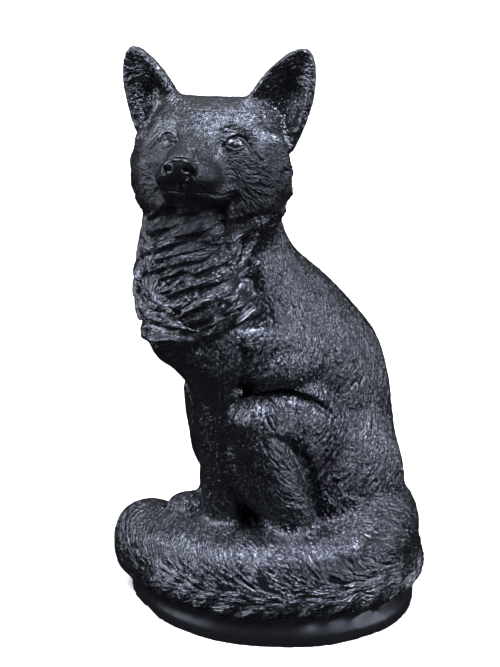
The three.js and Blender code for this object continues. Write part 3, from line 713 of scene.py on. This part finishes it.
def pick_roots(skin, sizes, random):
    """Random points, as many as their fur's length and width ask for."""
    length, width = sizes[:2]
    spread = np.linalg.norm(skin.points[skin.starts] - skin.points[skin.ends], axis=1) ** 2
    area = np.bincount(skin.starts, spread, len(length)) + np.bincount(skin.ends, spread, len(length))
    area /= skin.degree
    wanted = TUFT_OVERLAP * area / (length * width)
    return np.flatnonzero(random.random(len(wanted)) < wanted)


def lock_shape(places, line, width):
    """A curved, pointed lock in a flat map.

    Gives its points, and there the share along, the distance across, the crown, and the distance across as a
    share of the half width.
    """
    line = curved(line, 6)
    reach = np.ptp(line, 0) / 2 + width
    near = np.flatnonzero(np.all(np.abs(places - line.min(0) / 2 - line.max(0) / 2) < reach, 1))
    gap, along, side = line_gap(places[near], line)
    half = width * 0.5 * np.clip(along * 3.5 + 0.25, 0, 1) ** 0.5 * np.clip((1 - along) * 1.6, 0, 1) ** 0.8
    inside = (gap < half) & (along > 0)
    gap, along, side, half = gap[inside], along[inside], side[inside], half[inside]
    return near[inside], along, side * gap, np.sqrt(1 - (gap / half) ** 2.4), side * gap / half


def ruff_map(points):
    """The ruff rolled out flat: arc length round the neck, and height."""
    return np.stack([np.radians(ruff_place(points)) * RUFF_RADIUS, points[:, 2]], 1)


def hidden_ruff_locks():
    """The far side's locks, in rows like tiles."""
    locks = []
    for row in range(5):
        for around in range(-118, -66, 15):
            top = 0.338 - 0.016 * row
            start = around + 7 * (row % 2)
            locks.append(((start, top), (start + 6, top - 0.014), (start + 20, top - 0.028), 0.012))
    return locks


def ruff_tiers(random):
    """The locks as (share of the full rise, line, width), smaller ones first to lie under the big ones."""
    tiers = []
    for *knots, width in (*RUFF_LOCKS, *hidden_ruff_locks()):
        line = np.array([(math.radians(around) * RUFF_RADIUS, height) for around, height in knots])
        heading = unit(line[2] - line[0])
        aside = np.array((-heading[1], heading[0]))
        tiers.append((1.0, line, width))
        for shift in RUFF_UNDER:
            moved = line + aside * shift * width + heading * random.uniform(-0.004, 0.004)
            tiers.append((0.62 - 0.14 * abs(shift), moved, width * random.uniform(0.6, 0.9)))
    return sorted(tiers, key=lambda tier: (tier[0], tier[1][2, 1]))


def lock_wisps(line, width, random):
    """Pointed wisps along a lock: their lines and widths."""
    line = curved(line, 8)
    share = np.linspace(0, 1, len(line))
    for place in np.linspace(-RUFF_WISP_SPREAD, RUFF_WISP_SPREAD, RUFF_WISPS):
        start = random.uniform(-0.05, 0.40)
        shares = start + np.array((0, 0.5, 1)) * random.uniform(0.50, 0.72)
        knots = np.stack([np.interp(shares, share, line[:, 0]), np.interp(shares, share, line[:, 1])], 1)
        ahead = unit(knots[2] - knots[0])
        aside = np.array((-ahead[1], ahead[0]))
        bend = random.uniform(-0.16, 0.16, 3) + place * np.array((0.9, 1.0, 0.8))
        knots = knots + aside * bend[:, None] * width + ahead * random.uniform(0, 0.002)
        yield knots, width * random.uniform(0.34, 0.62)


def lay_locks(places, random):
    """The locks in the flat map, each over the ones before: the height, the place in the lock, and wisps."""
    raised, strand, crowned = np.zeros((3, len(places)))
    wisps = []
    for share, line, width in ruff_tiers(random):
        chosen, along, aside, crown, across = lock_shape(places, line, width)
        level = unit(line[2] - line[0])[0]
        value = (RUFF_ROOT + RUFF_RISE * share * along ** 0.6) * crown * (1 - RUFF_LEAN * level * across)
        won = value > raised[chosen] * RUFF_COVER
        raised[chosen] = np.maximum(raised[chosen] * RUFF_COVER, value)
        strand[chosen[won]] = aside[won]
        crowned[chosen[won]] = crown[won]
        wisps += lock_wisps(line, width, random)
    return raised, strand, crowned, wisps


def stamp_ruff(skin, found, random):
    """The ruff's locks with their wisps: the height, and for the paint the place in the lock or the wisp."""
    near = np.flatnonzero(found["ruff"] > 0.02)
    places = ruff_map(skin.points[near])
    raised, strand, crowned, wisps = lay_locks(places, random)
    ridge = np.zeros(len(near))
    for line, width in wisps:
        chosen, along, aside, crown, _ = lock_shape(places, line, width)
        value = RUFF_WISP * (0.25 + 0.75 * along) * crown
        won = value > ridge[chosen]
        ridge[chosen[won]] = value[won]
        strand[chosen[won]] = aside[won]
        crowned[chosen[won]] = crown[won]
    heights, strands, crowns = np.zeros((3, len(skin.points)))
    sunk = (RUFF_SUNK + 0.4 * RUFF_WISP) * smooth_step(*RUFF_GROUND, places[:, 1])
    heights[near] = (raised + ridge - sunk) * found["ruff"][near]
    strands[near] = strand
    crowns[near] = crowned * smooth_step(0.2, 0.6, found["ruff"][near])
    return heights, strands, crowns


def face_places(points):
    """Each point as seen from straight ahead, with both halves folded onto one."""
    forward, left, up = in_head(points).T
    return forward, np.stack([np.abs(left - FACE_MIDDLE), up], 1)


def eye_heights(places):
    """An almond opening with its lids, and the eyeball sunk behind them."""
    share = np.clip((places[:, 0] - EYE[0]) / EYE_HALF_WIDTH, -1, 1)
    rest = 1 - share ** 2
    above = EYE[1] + EYE_ABOVE * rest ** 0.75 - places[:, 1]
    below = places[:, 1] - (EYE[1] - EYE_BELOW * rest ** 0.9)
    past = np.abs(places[:, 0] - EYE[0]) - EYE_HALF_WIDTH
    inward = np.minimum(np.minimum(above, below), -past)
    opened = smooth_step(*EYE_EDGE, inward)
    across = (places[:, 0] - EYE[0]) / EYE_BALL[0]
    over = (places[:, 1] - EYE[1] + EYE_DROP) / EYE_BALL[1]
    ball = EYE_BULGE * np.sqrt(np.clip(1 - across ** 2 - over ** 2, 0, 1)) - EYE_SUNK
    pupil = np.hypot(*(places - PUPIL).T)
    ball -= PUPIL_DEPTH * (1 - smooth_step(*PUPIL_EDGE, pupil))
    lower = 0.75 + 0.25 * smooth_step(-0.003, 0.003, places[:, 1] - EYE[1])
    lids = LID_RISE * lower * np.exp(-((inward + LID_MIDDLE) / LID_WIDTH) ** 2)
    return opened * ball + (1 - opened) * lids, opened


def nose_heights(places):
    """The nose pad's crisp edge, its comma nostrils and the groove under it."""
    aside, up = ((places - NOSE) / NOSE_HALF).T
    wide = 1 - 0.28 * smooth_step(0.1, -1.0, up)
    ring = (np.abs(aside / wide) ** NOSE_SQUARE + np.abs(up) ** NOSE_SQUARE) ** (1 / NOSE_SQUARE)
    pad = 1 - smooth_step(0.90, 1.02, ring)
    heights = NOSE_RISE * pad - NOSE_MOAT * np.exp(-((ring - 1.14) / 0.09) ** 2)
    heights += NOSE_RIM * np.exp(-((ring - 0.84) / 0.10) ** 2) * smooth_step(-0.2, 0.4, up)
    heights -= NOSTRIL_DEPTH * groove(places, curved(NOSTRIL, 5), 0.0014)
    heights -= MIDDLE_DEPTH * groove(places, MIDDLE_GROOVE, 0.0009)
    return heights, pad


def mouth_heights(places):
    """The upper lip's soft edge over the mouth line, and the sunken chin under it."""
    line = curved(MOUTH, 5)
    gap, along, side = line_gap(places, line)
    fade = 1 - smooth_step(0.75, 1.0, along)
    heights = -MOUTH_DEPTH * np.exp(-(gap / 0.0012) ** 2) * (1 - 0.4 * along)
    under = (LIP_RISE + CHIN_SUNK * smooth_step(0, 0.013, gap)) * (1 - smooth_step(0.017, 0.032, gap))
    lip = np.where(side > 0, LIP_RISE * np.exp(-(gap / 0.004) ** 2), -under)
    return (heights + lip) * fade


def carve_face(skin):
    """Carves the eyes, nose, mouth and creases, and gives how polished each point is."""
    forward, places = face_places(skin.points)
    ahead = smooth_step(0.05, 0.30, skin.normals @ HEAD[0]) * smooth_step(-0.016, -0.006, forward)
    near = np.flatnonzero(ahead > 0)
    seen = places[near]
    behind = forward[near] < EYES_AHEAD
    before = forward[near] > NOSE_FROM
    eyes, opened = eye_heights(seen)
    heights = eyes * behind
    for line, width, depth, taper in FACE_CREASES:
        heights -= depth * groove(seen, curved(line, 5), width, taper) * (1 - opened)
    nose, pad = nose_heights(seen)
    heights += np.where(before, nose, 0)
    heights += mouth_heights(seen)
    polish = np.zeros(len(skin.points))
    polish[near] = np.maximum(opened * behind, pad * before)
    pushed = np.zeros(len(skin.points))
    pushed[near] = heights * ahead[near]
    skin.push(pushed)
    return polish * ahead


def calm(points):
    """How much of the fur is left round the eyes and the lid grooves."""
    forward, places = face_places(points)
    past = np.hypot((places[:, 0] - EYE[0]) / 1.8, places[:, 1] - EYE[1]) - EYE_ABOVE
    past = np.minimum(past, line_gap(places, LID_GROOVE)[0])
    return np.where(forward > -0.010, smooth_step(0, CALM_FACE, past) * 0.85 + 0.15, 1)


def carve_ears(skin, found):
    """Deepens the hollow low in each ear's cup."""
    places = face_places(skin.points)[1]
    gap = np.hypot(*((places - EAR_HOLLOW) / EAR_HOLLOW_HALF).T)
    facing = smooth_step(0.1, 0.4, skin.normals @ HEAD[0])
    skin.push(-EAR_HOLLOW_DEPTH * np.exp(-gap ** 2) * facing * found["ear"])


def fold_body(skin):
    """Swells the flank over the thigh and presses the creases in, sideways out of the body."""
    places = skin.points[:, 1:]
    gap, along, side = line_gap(places, curved(THIGH_LINE, 5))
    hang = FLANK_RISE * np.clip(1 - gap / FLANK_REACH, 0, 1) ** 1.5 * (1 - smooth_step(0.5, 0.95, along))
    total = hang * smooth_step(-0.0015, 0.0005, gap * side) * smooth_step(-0.056, -0.040, places[:, 0])
    for line, width, depth, taper in CREASES:
        total -= depth * groove(places, curved(line, 5), width, taper)
    total *= smooth_step(*FOLDS_SIDE, np.abs(skin.points[:, 0]))
    skin.points[:, 0] += np.sign(skin.points[:, 0]) * total
    skin.refresh()


def make_object(name, mesh):
    made = bpy.data.objects.new(name, mesh)
    bpy.context.scene.collection.objects.link(made)
    return made


def baked(made, name):
    """A mesh with its modifiers applied."""
    bpy.context.view_layer.update()
    graph = bpy.context.evaluated_depsgraph_get()
    mesh = bpy.data.meshes.new_from_object(made.evaluated_get(graph), depsgraph=graph)
    mesh.name = name
    return mesh


def remeshed(made, voxel):
    grid = made.modifiers.new("Grid", "REMESH")
    grid.mode = "VOXEL"
    grid.voxel_size = voxel
    grid.use_smooth_shade = True
    mesh = baked(made, "fox_skin")
    made.modifiers.clear()
    made.data = mesh
    return made


def split_once(made):
    round_off = made.modifiers.new("Split", "SUBSURF")
    round_off.levels = 1
    round_off.render_levels = 1
    mesh = baked(made, "fox_skin")
    made.modifiers.clear()
    made.data = mesh
    return made


def refine_face(made):
    """Splits the faces round the eyes, nose and mouth once more."""
    body = bmesh.new()
    body.from_mesh(made.data)
    body.faces.ensure_lookup_table()
    centres = np.array([face.calc_center_median() for face in body.faces])
    forward, places = face_places(centres)
    near = (forward > -0.006) & (places[:, 0] < 0.046) & (places[:, 1] > -0.052) & (places[:, 1] < 0.018)
    edges = {edge for i in np.flatnonzero(near) for edge in body.faces[i].edges}
    bmesh.ops.subdivide_edges(body, edges=list(edges), cuts=1, use_grid_fill=True)
    body.to_mesh(made.data)
    body.free()


class FOX_OT_skin(bpy.types.Operator):
    """Rebuild the cast's skin from the solid, with its facets evened out"""
    bl_idname = "fox.skin"
    bl_label = "Skin"

    def execute(self, context):
        cast = context.scene.fox_cast
        body = bmesh.new()
        body.from_mesh(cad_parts[NODE].data)
        bmesh.ops.remove_doubles(body, verts=body.verts, dist=1e-6)
        mesh = bpy.data.meshes.new("fox_skin")
        body.to_mesh(mesh)
        body.free()
        made = remeshed(make_object("fox_skin", mesh), cast.voxel)
        skin = Skin(made.data)
        skin.even(cast.evening, smooth_step(*UNDERSIDE_EDGE, skin.points[:, 2]))
        found = regions(skin.points)[0]
        height = skin.points[:, 2]
        lip = smooth_step(*BASE_LIP_LOW, height) * (1 - smooth_step(*BASE_LIP_TOP, height))
        skin.blur(cast.melting, np.maximum.reduce((found["ruff"], found["tail"] * (1 - found["base"]), lip)))
        fold_body(skin)
        split_once(made)
        refine_face(made)
        skin = Skin(made.data)
        ruff = regions(skin.points)[0]["ruff"]
        forward, places = face_places(skin.points)
        face = (forward > -0.010) & (places[:, 0] < 0.050) & (np.abs(places[:, 1] + 0.017) < 0.040)
        skin.even(8, np.maximum(ruff, face))
        return {"FINISHED"}


def dull_and_shade_places(points, found):
    """Lost gloss: dull on the muzzle, under the eyes, on the chin; painted shade on the throat; both on the
    base.
    """
    forward, places = face_places(points)
    aside, up = places.T
    face = smooth_step(*DULL_FRONT, forward) * smooth_step(*DULL_LOW, up) * smooth_step(*DULL_TOP, up)
    bridge = smooth_step(*BRIDGE_LOW, up) * (1 - smooth_step(*BRIDGE_SIDE, aside))
    face *= 1 - BRIDGE_GLOSS * bridge
    # Painted shade: the throat in the chin's shadow loses gloss
    throat = smooth_step(*PAINTED_SHADE_THROAT, points[:, 2])
    throat *= 1 - smooth_step(*PAINTED_SHADE_THROAT_TURN, np.abs(ruff_place(points)))
    # The base's dulling is partly duller paint and partly painted shade under the tail
    return np.maximum.reduce((face * found["head"], found["base"], throat * (1 - found["head"])))


class FOX_OT_fur(bpy.types.Operator):
    """Carve the face and the ruff's locks, and comb tufts of fur over the skin"""
    bl_idname = "fox.fur"
    bl_label = "Fur"

    def execute(self, context):
        fur = context.scene.fox_fur
        random = np.random.default_rng(fur.seed)
        skin = Skin(bpy.data.objects["fox_skin"].data)
        found, along, heading = regions(skin.points)
        sizes = tuft_sizes(skin.points, found)
        polish = carve_face(skin)
        carve_ears(skin, found)
        heights, lock_strand, lock_crown = stamp_ruff(skin, found, random)
        skin.push(heights)
        skin.blur(1, found["ruff"])
        flow = fur_flow(skin, found, along, heading)
        sizes[2] *= (1 - polish) * calm(skin.points)
        roots = pick_roots(skin, sizes, random)
        tufts = Tufts(skin, roots, flow, sizes, fur.depth, random)
        raised, strand, crown = stamp_tufts(skin, tufts)
        in_lock = lock_crown > 0.05
        strand[in_lock] = lock_strand[in_lock]
        raised *= 1 - found["base"]
        skin.push(raised - 0.5 * fur.depth * sizes[2])
        skin.points[:, 2] = np.maximum(skin.points[:, 2], 0)
        skin.refresh()
        skin.keep("strand", strand)
        skin.keep("crown", np.where(in_lock, lock_crown, crown * np.clip(sizes[2] * 1.2, 0, 1)))
        # Dull paint on the muzzle and chin, and painted shade on the throat and partly on the base
        skin.keep("dull_and_shade", dull_and_shade_places(skin.points, found))
        skin.keep("polish", polish)
        return {"FINISHED"}


def ear_cut(side):
    """The plane at the foot of the left ear (side 1) or the right one (side -1)."""
    way = np.array((0, side * EAR_WAY[0], EAR_WAY[1])) @ HEAD
    return EYES_MIDDLE + way * EAR_HEIGHT, way


def cut_off(body, plane):
    """Parts a closed mesh by a plane: what lies before it stays, and what lies past it is given back."""
    past = body.copy()
    point, way = plane
    for part, keep_past in ((body, False), (past, True)):
        geometry = part.verts[:] + part.edges[:] + part.faces[:]
        found = bmesh.ops.bisect_plane(
            part, geom=geometry, dist=1e-6, plane_co=point, plane_no=way,
            clear_outer=not keep_past, clear_inner=keep_past)
        rim = [item for item in found["geom_cut"] if isinstance(item, bmesh.types.BMEdge)]
        rim = [edge for edge in rim if edge.is_boundary]
        filled = bmesh.ops.triangle_fill(part, edges=rim, use_beauty=True, normal=way)
        for edge in rim:
            edge.smooth = False
        for face in filled["geom"]:
            if isinstance(face, bmesh.types.BMFace):
                face.smooth = False
        bmesh.ops.recalc_face_normals(part, faces=part.faces)
    return past


def part_cast(body):
    """All pieces of the cast by name."""
    above = cut_off(body, BASE_CUT)
    pieces = {"fox_base": body}
    trunk = cut_off(above, FOOT_CUT)
    pieces["fox_brush_rear"] = cut_off(above, SIDE_CUT)
    pieces["fox_brush_front"] = above
    chest = cut_off(trunk, LOIN_CUT)
    pieces["fox_haunches"] = trunk
    ruff = cut_off(chest, CHEST_CUT)
    pieces["fox_shoulders"] = chest
    head = cut_off(ruff, NECK_CUT)
    pieces["fox_ruff"] = ruff
    pieces["fox_ear_left"] = cut_off(head, ear_cut(1))
    pieces["fox_ear_right"] = cut_off(head, ear_cut(-1))
    pieces["fox_head"] = head
    return pieces


def flat_underside(body):
    """One plain face in place of the base's underside."""
    geometry = body.verts[:] + body.edges[:] + body.faces[:]
    found = bmesh.ops.bisect_plane(
        body, geom=geometry, dist=1e-6, plane_co=(0, 0, 0.0006), plane_no=(0, 0, 1), clear_inner=True)
    rim = [item for item in found["geom_cut"] if isinstance(item, bmesh.types.BMEdge) and item.is_boundary]
    for vertex in {vertex for edge in rim for vertex in edge.verts}:
        vertex.co.z = 0
    bmesh.ops.triangle_fill(body, edges=rim, use_beauty=True, normal=(0, 0, -1))
    bmesh.ops.recalc_face_normals(body, faces=body.faces)


class FOX_OT_part(bpy.types.Operator):
    """Part the cast into closed pieces and paint them"""
    bl_idname = "fox.part"
    bl_label = "Part"

    def execute(self, context):
        whole = bpy.data.objects["fox_skin"]
        body = bmesh.new()
        body.from_mesh(whole.data)
        for face in body.faces:
            face.smooth = True
        flat_underside(body)
        paint = black_paint(context.scene.fox_paint)
        for name, part in part_cast(body).items():
            mesh = bpy.data.meshes.new(name)
            part.to_mesh(mesh)
            part.free()
            mesh.materials.append(paint)
            piece = make_object(name, mesh)
            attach(piece, "root")
            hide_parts(NODE)
        bpy.data.objects.remove(whole)
        return {"FINISHED"}


def black_paint(paint):
    """Glossy black with fine hairs in the tufts, smoother on eyes and nose, less glossy where dull and as
    painted shade.
    """
    material = bpy.data.materials.new("Fox paint")
    material.use_nodes = True
    nodes, links = material.node_tree.nodes, material.node_tree.links
    shader = nodes["Principled BSDF"]
    shader.inputs["Base Color"].default_value = (*paint.colour, 1)
    # Gloss tint: partly painted light, standing in for the bluish light the paint mirrors
    shader.inputs["Specular Tint"].default_value = (*paint.gloss_and_light_tint, 1)

    def kept(name):
        node = nodes.new("ShaderNodeAttribute")
        node.attribute_name = name
        return node.outputs["Fac"]

    def maths(operation, first, second):
        node = nodes.new("ShaderNodeMath")
        node.operation = operation
        for socket, value in zip(node.inputs, (first, second)):
            if isinstance(value, float):
                socket.default_value = value
            else:
                links.new(value, socket)
        return node.outputs[0]

    def noise(scale, detail, share):
        node = nodes.new("ShaderNodeTexNoise")
        node.inputs["Scale"].default_value = scale
        node.inputs["Detail"].default_value = detail
        links.new(place.outputs["Object"], node.inputs["Vector"])
        return maths("MULTIPLY", node.outputs["Fac"], share)

    place = nodes.new("ShaderNodeTexCoord")
    phase = maths("MULTIPLY", kept("strand"), 2 * math.pi / paint.hair)
    hairs = maths("SINE", maths("ADD", phase, noise(*HAIR_DRIFT)), 0.0)
    hairs = maths("MULTIPLY", hairs, kept("crown"))
    bump = nodes.new("ShaderNodeBump")
    bump.inputs["Strength"].default_value = 1.0
    bump.inputs["Distance"].default_value = paint.hair_depth
    links.new(maths("ADD", hairs, noise(*GRAIN)), bump.inputs["Height"])
    links.new(bump.outputs["Normal"], shader.inputs["Normal"])

    def blend(share, low, high):
        return maths("ADD", maths("MULTIPLY", share, high - low), low)

    dull_and_shade, polish = kept("dull_and_shade"), kept("polish")
    rough = blend(dull_and_shade, paint.roughness, paint.bare)
    rough = maths("ADD", rough, maths("MULTIPLY", polish, paint.polish - paint.bare))
    links.new(maths("MAXIMUM", rough, SMOOTHEST), shader.inputs["Roughness"])
    # Less gloss where dull_and_shade is high: dull paint, and painted shade on the throat and partly on the
    # base
    links.new(blend(dull_and_shade, GLOSS, GLOSS * paint.dulled_and_shaded), shader.inputs["Specular IOR Level"])
    return material


def studio_surface(name, body, paint):
    """A pale surface that shows, but isn't mirrored in the paint."""
    mesh = bpy.data.meshes.new(name)
    body.to_mesh(mesh)
    body.free()
    mesh.materials.append(paint)
    made = make_object(name, mesh)
    made.visible_glossy = False
    return made


def studio_light(stage):
    """Light from the upper half of a wide studio, with soft brighter fields, and dark below."""
    world = bpy.data.worlds.new("Studio")
    world.use_nodes = True
    nodes, links = world.node_tree.nodes, world.node_tree.links
    background = nodes["Background"]
    place = nodes.new("ShaderNodeTexCoord")
    parts = nodes.new("ShaderNodeSeparateXYZ")
    links.new(place.outputs["Generated"], parts.inputs["Vector"])

    def ramp(value, low, high, dark, bright):
        node = nodes.new("ShaderNodeMapRange")
        node.interpolation_type = "SMOOTHSTEP"
        for name, number in (("From Min", low), ("From Max", high), ("To Min", dark), ("To Max", bright)):
            node.inputs[name].default_value = number
        links.new(value, node.inputs["Value"])
        return node.outputs["Result"]

    total = ramp(parts.outputs["Z"], SKY_RISE[0], SKY_RISE[1], stage.horizon, stage.sky)
    for turn, height, wide, strength in SOFT_FIELDS:
        turn, height = math.radians(turn), math.radians(height)
        towards = nodes.new("ShaderNodeVectorMath")
        towards.operation = "DOT_PRODUCT"
        towards.inputs[1].default_value = (
            math.cos(height) * math.cos(turn), math.cos(height) * math.sin(turn), math.sin(height))
        links.new(place.outputs["Generated"], towards.inputs[0])
        field = ramp(towards.outputs["Value"], math.cos(math.radians(wide)), FIELD_CORE, 0, strength)
        both = nodes.new("ShaderNodeMath")
        links.new(total, both.inputs[0])
        links.new(field, both.inputs[1])
        total = both.outputs[0]
    links.new(total, background.inputs["Strength"])
    background.inputs["Color"].default_value = LIGHT_COLOUR
    bpy.context.scene.world = world


def make_camera():
    """The photograph's camera: back and aside from the fox, pitched down."""
    lens = bpy.data.cameras.new("Camera")
    lens.sensor_fit = "HORIZONTAL"
    lens.sensor_width = SENSOR
    lens.lens = FOCAL_PIXELS * SENSOR / IMAGE_WIDTH
    camera = make_object("Camera", lens)
    right = Vector((math.cos(CAMERA_TURN), math.sin(CAMERA_TURN), 0))
    back = Vector((math.sin(CAMERA_TURN), -math.cos(CAMERA_TURN), 0))
    camera.location = back * CAMERA_BACK + right * CAMERA_SIDE + Vector((0, 0, CAMERA_HEIGHT))
    camera.rotation_euler = (math.pi / 2 - CAMERA_PITCH, 0, CAMERA_TURN)
    bpy.context.scene.camera = camera


def pale_paint(name, colour, glow):
    """A dull pale finish, with a glow of its own for the backdrop."""
    paint = bpy.data.materials.new(name)
    paint.use_nodes = True
    shader = paint.node_tree.nodes["Principled BSDF"]
    shader.inputs["Base Color"].default_value = (*colour, 1)
    shader.inputs["Roughness"].default_value = 0.9
    shader.inputs["Specular IOR Level"].default_value = 0.1
    shader.inputs["Emission Color"].default_value = (1, 1, 1, 1)
    shader.inputs["Emission Strength"].default_value = glow
    return paint


def make_floor(stage):
    """A round floor, and a backdrop round its edge that casts no light or shade."""
    plate = bmesh.new()
    bmesh.ops.create_circle(plate, cap_ends=True, segments=96, radius=stage.floor)
    studio_surface("Floor", plate, pale_paint("Floor", stage.floor_colour, 0.0))
    ring = bmesh.new()
    bmesh.ops.create_cone(ring, segments=96, radius1=stage.floor, radius2=stage.floor, depth=stage.floor)
    wall = studio_surface("Backdrop", ring, pale_paint("Backdrop", stage.floor_colour, 1.0))
    wall.visible_diffuse = False
    wall.visible_shadow = False


class FOX_OT_stage(bpy.types.Operator):
    """Set up the camera, the pale floor with its backdrop, and the soft light"""
    bl_idname = "fox.stage"
    bl_label = "Stage"

    def execute(self, context):
        stage = context.scene.fox_stage
        make_camera()
        make_floor(stage)
        studio_light(stage)
        context.scene.view_settings.view_transform = "Standard"
        return {"FINISHED"}


class FOX_PT_panel(bpy.types.Panel):
    """Lists the steps that make the fox"""
    bl_label = "Fox statue"
    bl_space_type = "VIEW_3D"
    bl_region_type = "UI"
    bl_category = "Fox statue"

    def draw(self, context):
        for place, group in GROUPS.items():
            for name in group.__annotations__:
                self.layout.prop(getattr(context.scene, place), name)
        for operator in OPERATORS:
            self.layout.operator(operator.bl_idname)


GROUPS = {
    "fox_cast": CastSettings,
    "fox_fur": FurSettings,
    "fox_paint": PaintSettings,
    "fox_stage": StageSettings,
}
OPERATORS = (FOX_OT_stage, FOX_OT_skin, FOX_OT_fur, FOX_OT_part)


def register():
    for group in GROUPS.values():
        bpy.utils.register_class(group)
    for name, group in GROUPS.items():
        setattr(bpy.types.Scene, name, PointerProperty(type=group))
    for operator in OPERATORS:
        bpy.utils.register_class(operator)
    bpy.utils.register_class(FOX_PT_panel)


def unregister():
    bpy.utils.unregister_class(FOX_PT_panel)
    for operator in reversed(OPERATORS):
        bpy.utils.unregister_class(operator)
    for name in GROUPS:
        delattr(bpy.types.Scene, name)
    for group in reversed(GROUPS.values()):
        bpy.utils.unregister_class(group)


def main():
    register()
    bpy.ops.fox.stage()
    bpy.ops.fox.skin()
    bpy.ops.fox.fur()
    bpy.ops.fox.part()


if __name__ == "__main__":
    main()
